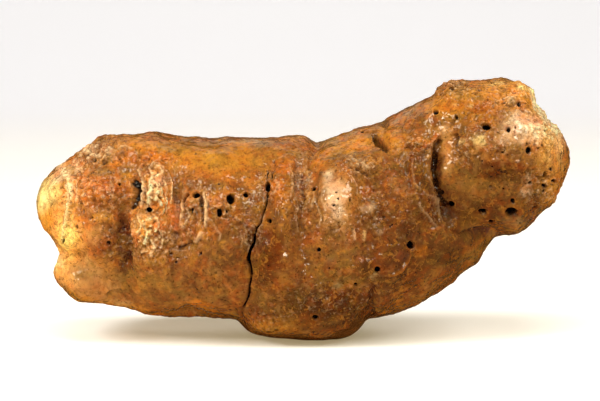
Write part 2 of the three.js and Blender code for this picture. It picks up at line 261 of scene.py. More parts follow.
# Lumps that stand on the outline and so reach round both sides
RIM_LUMPS = [
    (352, 131, 16, 9, 1.5, 10), (408, 110, 16, 8, 0.2, 30), (530, 92, 10, 9, 0.4, -30),
    (553, 116, 10, 12, -3.2, -50), (541, 102, 9, 8, -2.2, -45), (120, 135, 12, 8, -0.8, 10),
    (166, 134, 8, 8, -0.7), (230, 138, 30, 8, -0.4), (430, 92, 12, 10, -1.0, 40),
    (448, 86, 12, 8, 0.4, -10), (494, 78, 22, 8, -1.1), (474, 258, 10, 10, 1.6, 50),
    (84, 297, 16, 9, 1.2, -20), (516, 228, 16, 8, 1.6, 15), (148, 133, 18, 8, 0.4),
    (300, 137, 22, 8, 0.5), (150, 312, 24, 6, 0.8, -10),
]

# Lines that both the relief and the colours follow: beside the deep hollow, along the collar's
# lower edge, under the smooth pale bulge, and the thin pale ridges of the frosty places. The
# cream painted beside the hollow, on the collar's edge and on the frosty ridges is painted
# highlight.
HOLLOW_RIM = [(136.7, 166), (140, 174), (144.5, 183), (143, 198), (139, 208)]
COLLAR_EDGE = [(422, 193), (431, 197), (438, 208), (444.5, 221)]
THREAD = [(353.5, 229), (355, 241)]
GLINT_RIDGES = [
    [(149, 168), (152, 177), (150, 187)], [(150, 178), (156, 186), (155, 197), (159, 208)],
    [(162, 178), (166, 190), (164, 204), (168, 214)], [(169, 176), (172, 188), (170, 203)],
    [(146, 190), (150, 199), (147, 209)], [(152, 213), (158, 222), (154, 233)],
    [(142, 221), (147, 232), (144, 245)], [(150, 238), (155, 246), (150, 257)],
    [(158, 228), (163, 237), (160, 249)], [(138, 213), (141, 224), (138, 235)],
    [(149, 170), (152, 165), (158, 164), (162, 169), (160, 175), (154, 177)],
    [(196, 200), (200, 198), (203, 202), (201, 207)], [(186, 206), (188, 216), (185, 226)],
    [(75, 178), (79, 190), (76, 203)], [(66, 192), (69, 204), (66, 216)],
    [(312, 186), (315, 198), (312, 210)], [(318, 204), (321, 216), (319, 228)],
    [(326, 186), (324, 200), (327, 214)], [(352, 178), (358, 186), (357, 196)],
    [(243, 240), (249, 246), (248, 253)], [(214, 226), (220, 233), (219, 242)],
    [(118, 150), (126, 147), (134, 149)], [(516, 110), (524, 114), (530, 121)],
    [(508, 118), (512, 128), (510, 138)], [(532, 124), (537, 134), (536, 146)],
]

# (points, width, height) of soft-backed ridges, and of furrows where the height is below zero
NEAR_LINES = [
    *((line, 1.1, 0.5) for line in GLINT_RIDGES),
    ([(63, 168), (69, 183), (73, 198), (66, 214), (64, 226), (62, 240), (67, 253)], 1.8, 0.45),
    ([(67, 253), (74, 273), (83, 291)], 3.2, 0.6),
    ([(58, 251), (68, 256), (80, 255), (92, 250)], 3.4, -1.2),
    ([(70, 196), (62, 205), (60, 222)], 2.6, -0.7),
    ([(74, 172), (77, 184), (73, 194)], 2.0, -0.8),
    ([(82, 168), (84, 180), (82, 190)], 1.8, 0.8),
    (HOLLOW_RIM, 1.6, 0.8),
    ([(147, 176), (151, 186), (150, 200), (146, 205)], 1.6, 0.9),
    ([(155, 163), (160, 176), (158, 190), (162, 204), (160, 216)], 1.6, 0.8),
    ([(166, 172), (171, 186), (172, 200), (168, 212)], 1.8, 0.8),
    ([(119, 214), (122, 222), (126, 234), (128, 250), (125, 270)], 4.4, -1.4),
    ([(96, 211), (106, 209), (115, 213), (119, 222)], 1.2, -0.35),
    ([(104, 292), (111, 288), (120, 285.5)], 1.7, 0.8),
    ([(106, 296), (114, 292), (122, 290)], 1.8, -1.0),
    ([(181.5, 203), (185, 197), (189, 193)], 1.3, -2.2),
    ([(202.6, 189), (205.3, 198), (206.2, 210), (206.5, 222), (205.5, 230)], 1.2, 1.2),
    ([(199.4, 192), (201.6, 202), (202.6, 214), (202.6, 226)], 1.3, -1.8),
    ([(180, 200), (183, 210), (182, 222), (186, 230)], 1.7, 1.2),
    ([(190, 204), (193, 214), (190, 226)], 1.5, 0.7),
    ([(192, 243.7), (198, 238), (203, 231)], 1.7, 0.9),
    ([(178, 248), (184, 245), (191, 242)], 1.8, -1.4),
    ([(177, 262), (186, 254), (196, 250), (208, 252)], 2.0, -0.6),
    ([(244, 226), (247, 236), (246, 246)], 1.2, 0.6),
    ([(249, 226), (252, 234), (251, 243)], 1.2, 0.6),
    ([(240, 230), (242, 240), (240, 248)], 1.2, 0.5),
    ([(173, 310), (186, 304.6), (202, 303)], 1.8, 0.9),
    ([(303, 165), (304, 176), (303, 190), (306, 204)], 1.4, -0.9),
    ([(296, 188), (298, 205), (296, 222), (299, 236)], 1.8, 0.9),
    ([(290, 162), (292, 182), (290, 202)], 1.6, 0.8),
    ([(200, 258), (197, 272), (194, 288), (192, 304)], 4.2, -1.0),
    ([(274, 160), (276, 172)], 1.2, -0.7),
    ([(308, 150), (306, 165), (309, 182)], 1.6, 0.6),
    ([(319, 137), (316, 148), (310, 160), (307, 172)], 3.0, -1.0),
    ([(345, 163), (353, 159), (362, 163), (370, 172)], 1.7, 0.8),
    ([(346, 168), (356, 168), (366, 176)], 1.7, -0.8),
    ([(354, 172), (364, 176), (372, 186)], 1.7, 0.7),
    ([(366, 192), (376, 196), (384, 205)], 1.7, 0.5),
    (THREAD, 1.5, 0.6),
    ([(364.5, 229), (363.5, 242)], 1.5, 0.6),
    ([(411, 252), (407, 262), (401.4, 270.5), (394, 275), (386, 276)], 1.5, 0.9),
    ([(413, 250), (420, 250), (428, 246)], 1.5, 0.7),
    ([(322, 309), (325, 311), (329, 308)], 1.1, 0.7),
    ([(376, 318), (371, 308), (372, 296), (378, 286)], 2.2, -1.1),
    ([(422.4, 101), (412, 114), (406, 124), (403, 137)], 2.0, 0.8),
    ([(417, 106), (408, 116), (401, 128)], 2.2, -0.7),
    ([(440.6, 134), (432, 141), (424, 148), (418.5, 153)], 2.0, 1.1),
    ([(441, 138), (436, 148), (432, 156)], 2.6, -1.6),
    ([(404, 144), (414, 143), (424, 146)], 1.6, 0.6),
    ([(412.5, 155), (412.5, 170), (414.5, 183), (422, 193)], 1.4, 0.7),
    ([(408, 160), (408, 176), (411, 190)], 2.2, -0.8),
    (COLLAR_EDGE, 1.3, 0.7),
    ([(416, 201), (425, 213), (433, 223), (439, 228)], 1.3, 0.7),
    ([(444.5, 221), (443, 226), (438, 229), (428, 231)], 1.5, 0.9),
    ([(428, 199), (434, 209), (440, 221)], 1.8, -1.1),
    ([(446, 200), (450, 208), (458, 214), (470, 222)], 3.6, -1.0),
    ([(484, 163), (492, 160), (502, 160), (512, 161), (522, 163), (540, 168)], 1.6, 0.5),
    ([(441, 124), (446, 121.5), (452, 124), (454, 130), (450, 136)], 1.6, 0.7),
    ([(445, 128), (450, 127), (451, 132), (447, 134)], 1.4, -0.6),
    ([(455, 133), (458, 139), (457, 147)], 1.5, -1.1),
    ([(484, 152), (476, 156), (466, 154)], 1.6, -0.5),
    ([(521, 203), (526, 200), (531, 197), (534, 190)], 1.5, 0.7),
    ([(531, 178), (527, 186), (524, 194)], 1.8, 0.7),
    ([(497, 236), (492, 231), (478, 231), (462, 234), (448, 229)], 2.6, -1.2),
    ([(425, 125), (432, 112), (442, 100), (452, 93)], 2.4, 0.5),
]

# (points, height, sharpness, reach) of ledges: the left side of the line's direction stands proud
NEAR_LEDGES = [
    ([(168, 166), (174, 182), (175, 200), (171, 222), (166, 244)], 0.7, 2.0, 9),
    ([(116, 214), (120, 226), (121, 246), (118, 270)], 0.9, 1.6, 9),
    ([(272, 160), (270, 175), (276, 200), (274, 220)], 0.5, 1.2, 8),
    ([(432, 140), (425, 152), (424, 168), (426, 184), (432, 198), (440, 212)], 1.9, 1.4, 9),
    ([(60, 262), (72, 282), (92, 297)], 0.7, 1.6, 9),
    ([(322, 168), (319, 190), (322, 214), (330, 230)], 1.0, 1.8, 9),
]

# (points, half-width, depth, how dark their painted shade is) of cracks
NEAR_CRACKS = [
    (
        [(268.5, 190), (266.5, 204), (263.5, 213.5), (262, 222.5), (257, 227), (255, 236)],
        0.75, 2.6, 1.0,
    ),
    (
        [(255.6, 233), (253.4, 244.5), (250, 251), (248.7, 258), (250.3, 268), (251, 279)],
        1.15, 4.2, 1.0,
    ),
    ([(251, 276), (248.4, 287), (248.6, 296), (245, 304), (243.5, 309)], 0.95, 2.8, 0.85),
    ([(243.5, 306), (241.5, 314), (241, 320)], 1.0, 0.9, 0.15),
    ([(267.5, 171), (268, 183)], 0.7, 1.2, 0.8),
    ([(274.5, 171), (273.5, 180)], 0.6, 0.9, 0.5),
    ([(436, 148), (433.5, 157), (432.5, 166), (434, 178), (437, 190)], 2.4, 1.8, 0.4),
    ([(435, 184), (439, 196), (446, 205)], 2.4, 2.0, 0.35),
    ([(373, 135.5), (378, 141), (382, 146), (386, 151)], 2.8, 3.0, 0.45),
    ([(135.5, 181), (138, 190), (136, 200)], 3.2, 1.6, 0.95),
    ([(136, 198), (133.5, 203), (130, 209)], 1.8, 0.9, 0.6),
    ([(199, 200), (201, 207)], 0.8, 1.0, 0.5),
]

# (u, v, width, height, depth, how dark their painted shade is) of bored holes and pits
NEAR_PITS = [
    (149.6, 209.8, 4.9, 4.9, 3.5, 1.0), (196, 195, 7.4, 5.8, 3.5, 1.0),
    (191.8, 211, 2.8, 6.4, 2.0, 0.9), (230.5, 199, 8.4, 10, 4.5, 1.0),
    (246, 194.6, 5.6, 5.4, 3.5, 1.0), (219.7, 212.9, 5.4, 8.8, 3.5, 1.0),
    (226.4, 211.5, 2.2, 4, 1.5, 0.8), (269.8, 221.1, 4.6, 4.6, 3.2, 1.0),
    (313.9, 189.1, 4.4, 4.8, 3.0, 1.0), (336.3, 194.4, 2.2, 2.2, 0.9, 0.8),
    (338, 200, 2.2, 2.2, 0.8, 0.7), (334.2, 206, 2.6, 2.4, 0.9, 0.8),
    (348.6, 200.7, 2, 4, 1.0, 0.5), (329.6, 162.5, 1.8, 1.8, 0.8, 0.8),
    (336.5, 166.3, 1.8, 1.8, 0.8, 0.7), (362.6, 134.4, 4, 2, 1.0, 0.8),
    (410.3, 245.1, 7.4, 7.4, 4.2, 1.0), (377.5, 269.2, 5.8, 5.6, 3.4, 1.0),
    (355.5, 284.1, 3.8, 3.8, 2.0, 0.9), (318.6, 249.8, 4.4, 4.2, 1.8, 0.9),
    (315.6, 316.5, 6.4, 5, 1.8, 0.7), (329.5, 268.3, 2, 2, 0.8, 0.7),
    (383.5, 217, 3, 3, 1.0, 0.5), (392, 225, 2.2, 2.2, 0.9, 0.7),
    (389.7, 226.8, 2, 2, 0.8, 0.6), (486.3, 126.9, 7.6, 6.4, 3.8, 1.0),
    (518.9, 104.5, 4, 5, 2.6, 1.0), (528.3, 150.2, 6, 7.4, 3.8, 1.0),
    (546.8, 175.3, 5, 6.4, 3.2, 0.9), (552.7, 169.4, 2.2, 4.4, 1.6, 0.9),
    (530.6, 183.3, 4.8, 4.2, 2.6, 1.0), (513.2, 201.3, 4.6, 5.4, 2.6, 1.0),
    (511.4, 211.3, 13, 8, 3.8, 0.95), (483.4, 211.9, 8.6, 5.4, 3.6, 1.0),
    (491.4, 221.3, 5.6, 3.8, 2.6, 1.0), (450.9, 204, 7, 5.8, 3.6, 1.0),
    (435.9, 112.2, 5, 4.5, 2.4, 0.8), (456.3, 116.9, 3.4, 4.4, 1.6, 0.6),
    (451.6, 88, 5, 3, 1.6, 0.7), (479.4, 89.2, 5, 3.6, 1.4, 0.5),
    (475.5, 92.7, 3, 2.4, 1.2, 0.7), (502.6, 87.4, 3.2, 2.6, 1.4, 0.7),
    (509.3, 85.6, 2.2, 2, 1.0, 0.7), (504.6, 102.2, 3, 3, 1.2, 0.6),
    (507.9, 131.1, 3.5, 5, 1.8, 0.8), (514.4, 129.3, 2, 2, 0.9, 0.7),
    (525, 143.5, 2, 2, 0.9, 0.7), (541.5, 145.2, 2.6, 4, 1.2, 0.6),
    (537.4, 148.2, 1.8, 1.8, 0.7, 0.7), (554.5, 180.6, 3.5, 3.5, 1.8, 0.7),
    (546.3, 187.1, 4.6, 4, 2.2, 0.7), (545.3, 191.8, 2.6, 2.6, 1.4, 0.8),
    (559.8, 183.6, 2.6, 2.6, 1.2, 0.7), (535, 207.4, 6, 3, 2.0, 0.8),
    (502.6, 152.3, 3, 2.4, 1.2, 0.7), (482, 161.2, 2.2, 2, 1.0, 0.7),
    (492.2, 167, 1.8, 1.8, 0.8, 0.8), (503.5, 190, 1.8, 1.8, 0.8, 0.7),
    (518.9, 221.3, 1.8, 1.8, 0.8, 0.7), (490.8, 187.7, 3, 2, 1.0, 0.5),
    (441.2, 192.4, 5, 5, 1.4, 0.5), (93.2, 172.4, 2.2, 2, 1.0, 0.8),
    (111.1, 173.2, 1.8, 1.8, 0.8, 0.7), (119.8, 183.9, 3, 3, 1.4, 0.8),
    (83.6, 211.2, 1.8, 5, 1.0, 0.6), (92.7, 217.4, 2.6, 2.6, 1.0, 0.6),
    (76.9, 227, 3, 5, 1.0, 0.4), (109.2, 243.3, 5, 4.5, 1.4, 0.6),
    (63.7, 240.9, 2, 5, 1.2, 0.8), (75.7, 280.8, 2, 2, 0.8, 0.6),
    (200.9, 253.7, 2.8, 2.8, 1.4, 0.8), (176.7, 262.1, 3, 2.6, 1.2, 0.7),
    (171.8, 254, 4, 4, 1.0, 0.5), (271.7, 282.3, 1.8, 1.8, 0.9, 0.8),
    (197, 290.1, 2.2, 2.2, 0.9, 0.6), (218.7, 184.5, 1.8, 1.8, 0.8, 0.7),
    (268.7, 188, 6, 9, 2.4, 0.8), (269, 332, 8, 2.2, 1.4, 1.0),
    (276.5, 330, 4, 1.8, 1.0, 1.0), (120, 159, 2, 2, 0.8, 0.4),
    (86, 157, 4, 3, 1.6, 0.6), (94, 159, 4, 3, 1.6, 0.5), (103, 161, 4, 3.6, 2.0, 0.8),
]

# Where the surface has each kind of texture: (u, v, radius along, radius across, share, turn)
TEXTURES = {
    "grit": [
        (94, 155, 26, 13, 1.0, 25), (100, 195, 34, 24, 0.7), (70, 202, 12, 40, 0.6, 5),
        (156, 190, 22, 34, 0.95, 4), (152, 238, 26, 26, 1.0), (194, 220, 20, 34, 0.5),
        (228, 214, 20, 14, 0.6), (250, 234, 14, 14, 0.7), (270, 186, 14, 16, 0.6),
        (336, 226, 22, 16, 0.6), (360, 168, 18, 10, 0.9), (372, 214, 22, 22, 0.45),
        (435, 208, 12, 20, 0.4, 30), (418, 146, 18, 9, 0.7, 10), (466, 152, 10, 16, 0.6),
        (512, 98, 40, 18, 0.7), (546, 130, 16, 30, 0.8), (502, 150, 24, 8, 0.5),
        (545, 186, 18, 22, 0.8), (452, 88, 22, 8, 0.8), (110, 245, 14, 20, 0.5),
        (300, 190, 10, 40, 0.6), (330, 300, 50, 20, 0.4), (404, 210, 14, 30, 0.25),
        (270, 320, 24, 10, 0.6), (480, 130, 20, 20, 0.5),
    ],
    "wrinkle": [
        (158, 192, 15, 28, 0.7, 4), (192, 214, 16, 26, 0.2), (250, 236, 12, 13, 0.5),
        (300, 200, 8, 34, 0.5), (358, 236, 14, 10, 0.5), (316, 200, 8, 20, 0.6),
        (78, 182, 12, 14, 0.6), (430, 176, 8, 24, 0.3), (210, 240, 16, 10, 0.5),
    ],
    "pores": [
        (506, 100, 44, 22, 0.8), (545, 160, 22, 44, 1.0), (90, 240, 40, 24, 0.5),
        (190, 262, 50, 24, 0.4), (340, 280, 40, 26, 0.4), (450, 215, 34, 20, 0.5),
        (470, 120, 34, 18, 0.5), (200, 160, 60, 14, 0.3), (300, 310, 60, 16, 0.5),
        (490, 190, 40, 26, 0.4), (380, 170, 30, 30, 0.3),
    ],
    "smooth": [
        (90, 278, 34, 18, 0.7, -15), (228, 160, 50, 12, 0.5), (150, 290, 60, 18, 0.3, -8),
        (336, 198, 14, 28, 0.7, 8), (282, 185, 10, 18, 0.3), (450, 250, 46, 16, 0.5, 50),
        (447, 154, 9, 22, 0.5), (320, 326, 60, 8, 0.6), (44, 200, 10, 26, 0.8),
        (172, 178, 8, 16, 0.6), (145, 145, 26, 8, 0.5), (515, 132, 16, 14, 0.4),
        (470, 190, 20, 18, 0.4), (385, 262, 30, 20, 0.4), (280, 255, 18, 24, 0.4),
        (278, 220, 20, 24, 0.4),
    ],
    "matt": [
        (394, 182, 30, 34, 1.0), (276, 224, 26, 30, 0.9), (78, 266, 20, 13, 1.0),
        (330, 300, 54, 16, 0.8), (360, 262, 30, 14, 0.7), (122, 152, 20, 10, 0.7),
        (226, 182, 24, 10, 0.6), (452, 216, 16, 12, 0.9), (185, 190, 10, 24, 0.5),
    ],
}

# --- Relief of the far side, which is made up in the same manner ------------------------------
FAR_LUMPS = [
    (120, 170, 24, 18, 1.4, 10), (92, 130, 20, 16, 1.6), (140, 236, 20, 14, 1.2, -30),
    (205, 200, 16, 34, 1.8, 8), (262, 230, 22, 30, 1.4), (300, 170, 10, 26, -1.6, 6),
    (352, 205, 20, 32, 1.6, -8), (395, 180, 6, 24, -1.6, 4), (430, 215, 18, 22, 1.4),
    (482, 185, 20, 14, 1.2, 20), (500, 270, 20, 14, 1.2, 15), (468, 245, 26, 6, -1.6, 8),
    (160, 150, 5, 20, -1.8, -18), (240, 290, 20, 8, -1.2),
]
FAR_LINES = [
    ([(168, 120), (162, 150), (158, 176), (144, 204), (124, 224)], 3.4, -1.8),
    ([(236, 150), (230, 178), (236, 206), (228, 240), (230, 276)], 2.6, -1.4),
    ([(322, 148), (326, 180), (316, 214), (322, 250), (314, 290)], 2.8, -1.6),
    ([(404, 150), (398, 184), (408, 214), (400, 252), (404, 286)], 2.6, -1.2),
    ([(460, 162), (452, 190), (458, 214), (448, 240)], 2.0, 1.0),
    ([(270, 160), (274, 190), (268, 214)], 1.8, 0.9),
    ([(350, 170), (346, 196), (352, 226)], 1.7, 0.9),
    ([(100, 176), (114, 170), (132, 174)], 1.8, 0.8),
    ([(190, 250), (206, 262), (226, 262)], 1.8, 0.8),
    ([(520, 196), (512, 214), (516, 232)], 2.0, 0.9),
]
FAR_LEDGES = [
    ([(330, 160), (336, 190), (330, 226), (334, 262)], 1.2, 1.6, 9),
    ([(180, 140), (176, 170), (184, 204), (180, 240)], 1.2, 1.6, 9),
]
FAR_CRACKS = [
    ([(322, 186), (327, 204), (321, 222), (325, 244), (318, 268), (322, 286)], 1.2, 3.4, 0.9),
    ([(176, 148), (178, 166), (172, 184), (176, 202)], 1.5, 3.0, 0.8),
    ([(452, 196), (446, 208), (450, 222)], 1.0, 1.6, 0.7),
]
FAR_PIT_COUNT, FAR_PIT_SEED = 90, 11
FAR_PIT_SIZES, FAR_PIT_BIAS = (1.8, 6.5), 2.6  # pixels across, and how common small ones are
FAR_PIT_U, FAR_PIT_V = (40, 560), (90, 325)
FAR_PIT_STRETCH = (0.8, 1.35)  # height for a width of 1
FAR_PIT_DEPTH, FAR_PIT_DEEPEST, FAR_PIT_DARK = 0.62, 3.4, 0.9  # mm a pixel across, mm, share


# Holes, in their own radii, and cracks, in their own half-widths
HOLE_WALL, HOLE_SHADE = (0.7, 1.1), (0.75, 1.12)
HOLE_RIM, HOLE_RIM_WIDTH, HOLE_RIM_HEIGHT = 1.4, 0.35, 0.12
RIM_DEPTH, DEEP = 1.5, 3.0  # mm: a deeper hole has no higher rim, and no more coloured one
CRACK_WALL, CRACK_SHADE = (0.4, 1.5), (0.6, 1.25)


def relief(uv, lumps, lines, ledges):
    """Height in mm of lumps, ridges, furrows and ledges."""
    height = np.zeros(len(uv))
    for u, v, ru, rv, h, turn in map(full, lumps):
        height += h * spot(uv, u, v, ru, rv, turn)
    for line, width, h in lines:
        height += h * crest(uv, line, width)
    for line, h, sharp, reach in ledges:
        height += h * ledge(uv, line, sharp, reach)
    return height


def bores(uv, pits, wobble):
    """Depth in mm, painted shade and rim, each from 0 to 1, of round holes with steep walls."""
    depth, dark, rims = np.zeros(len(uv)), np.zeros(len(uv)), np.zeros(len(uv))
    for u, v, w, h, d, shade in pits:
        near = np.flatnonzero((np.abs(uv[:, 0] - u) < 1.8 * w) & (np.abs(uv[:, 1] - v) < 1.8 * h))
        r = np.hypot((uv[near, 0] - u) / (w / 2), (uv[near, 1] - v) / (h / 2))
        r *= 1 + 0.2 * wobble[near]
        rim = np.exp(-(((r - HOLE_RIM) / HOLE_RIM_WIDTH) ** 2))
        depth[near] = np.maximum(depth[near], d * (1 - ease(*HOLE_WALL, r)))
        depth[near] -= HOLE_RIM_HEIGHT * min(d, RIM_DEPTH) * rim
        dark[near] = np.maximum(dark[near], shade * (1 - ease(*HOLE_SHADE, r)))
        rims[near] = np.maximum(rims[near], rim * min(1, d / DEEP))
    return depth, dark, rims


def cracks(uv, lines, wobble):
    """Depth in mm and painted shade, from 0 to 1, of cracks, which are narrower at their ends."""
    depth, dark = np.zeros(len(uv)), np.zeros(len(uv))
    for line, half, d, shade in lines:
        near, r, _, along = nearest(uv, line, 4 * half)
        r = r / (half * (0.45 + 0.55 * tapered(along, CRACK_ENDS)) * (1 + 0.35 * wobble[near]))
        depth[near] = np.maximum(depth[near], d * (1 - ease(*CRACK_WALL, r)))
        dark[near] = np.maximum(dark[near], shade * (1 - ease(*CRACK_SHADE, r)))
    return depth, dark


def far_pits():
    """Holes scattered over the far side, mostly small."""
    roll = np.random.default_rng(FAR_PIT_SEED)
    low, high = FAR_PIT_SIZES
    made = []
    for _ in range(FAR_PIT_COUNT):
        size = low + (high - low) * roll.random() ** FAR_PIT_BIAS
        u, v = roll.uniform(*FAR_PIT_U), roll.uniform(*FAR_PIT_V)
        tall = size * roll.uniform(*FAR_PIT_STRETCH)
        made.append((u, v, size, tall, min(FAR_PIT_DEEPEST, FAR_PIT_DEPTH * size), FAR_PIT_DARK))
    return made


# --- Colours ----------------------------------------------------------------------------------
def srgb(r, g, b):
    """A colour of 0 to 255, as linear red, green and blue."""
    return tuple(
        c / 12.92 if c <= 0.04045 else ((c + 0.055) / 1.055) ** 2.4
        for c in (r / 255, g / 255, b / 255)
    )


COLOURS = {
    "brown": srgb(134, 82, 37),
    "honey": srgb(188, 121, 40),
    "amber": srgb(186, 100, 24),
    "orange": srgb(176, 82, 24),
    "rust": srgb(130, 58, 20),
    "maroon": srgb(84, 34, 18),
    "umber": srgb(94, 55, 26),
    "dark": srgb(44, 22, 8),
    "olive": srgb(130, 93, 38),
    "tan": srgb(184, 126, 66),
    "cream": srgb(226, 186, 138),
    "pale_highlight": srgb(244, 214, 166),
    "rose": srgb(228, 192, 154),
    "straw": srgb(236, 200, 124),
    "grey_and_sheen": srgb(146, 112, 84),
    "mauve": srgb(112, 72, 52),
    "painted_hole_shade": srgb(8, 4, 3),
}

PALEST = 0.92  # no linear red, green or blue above this

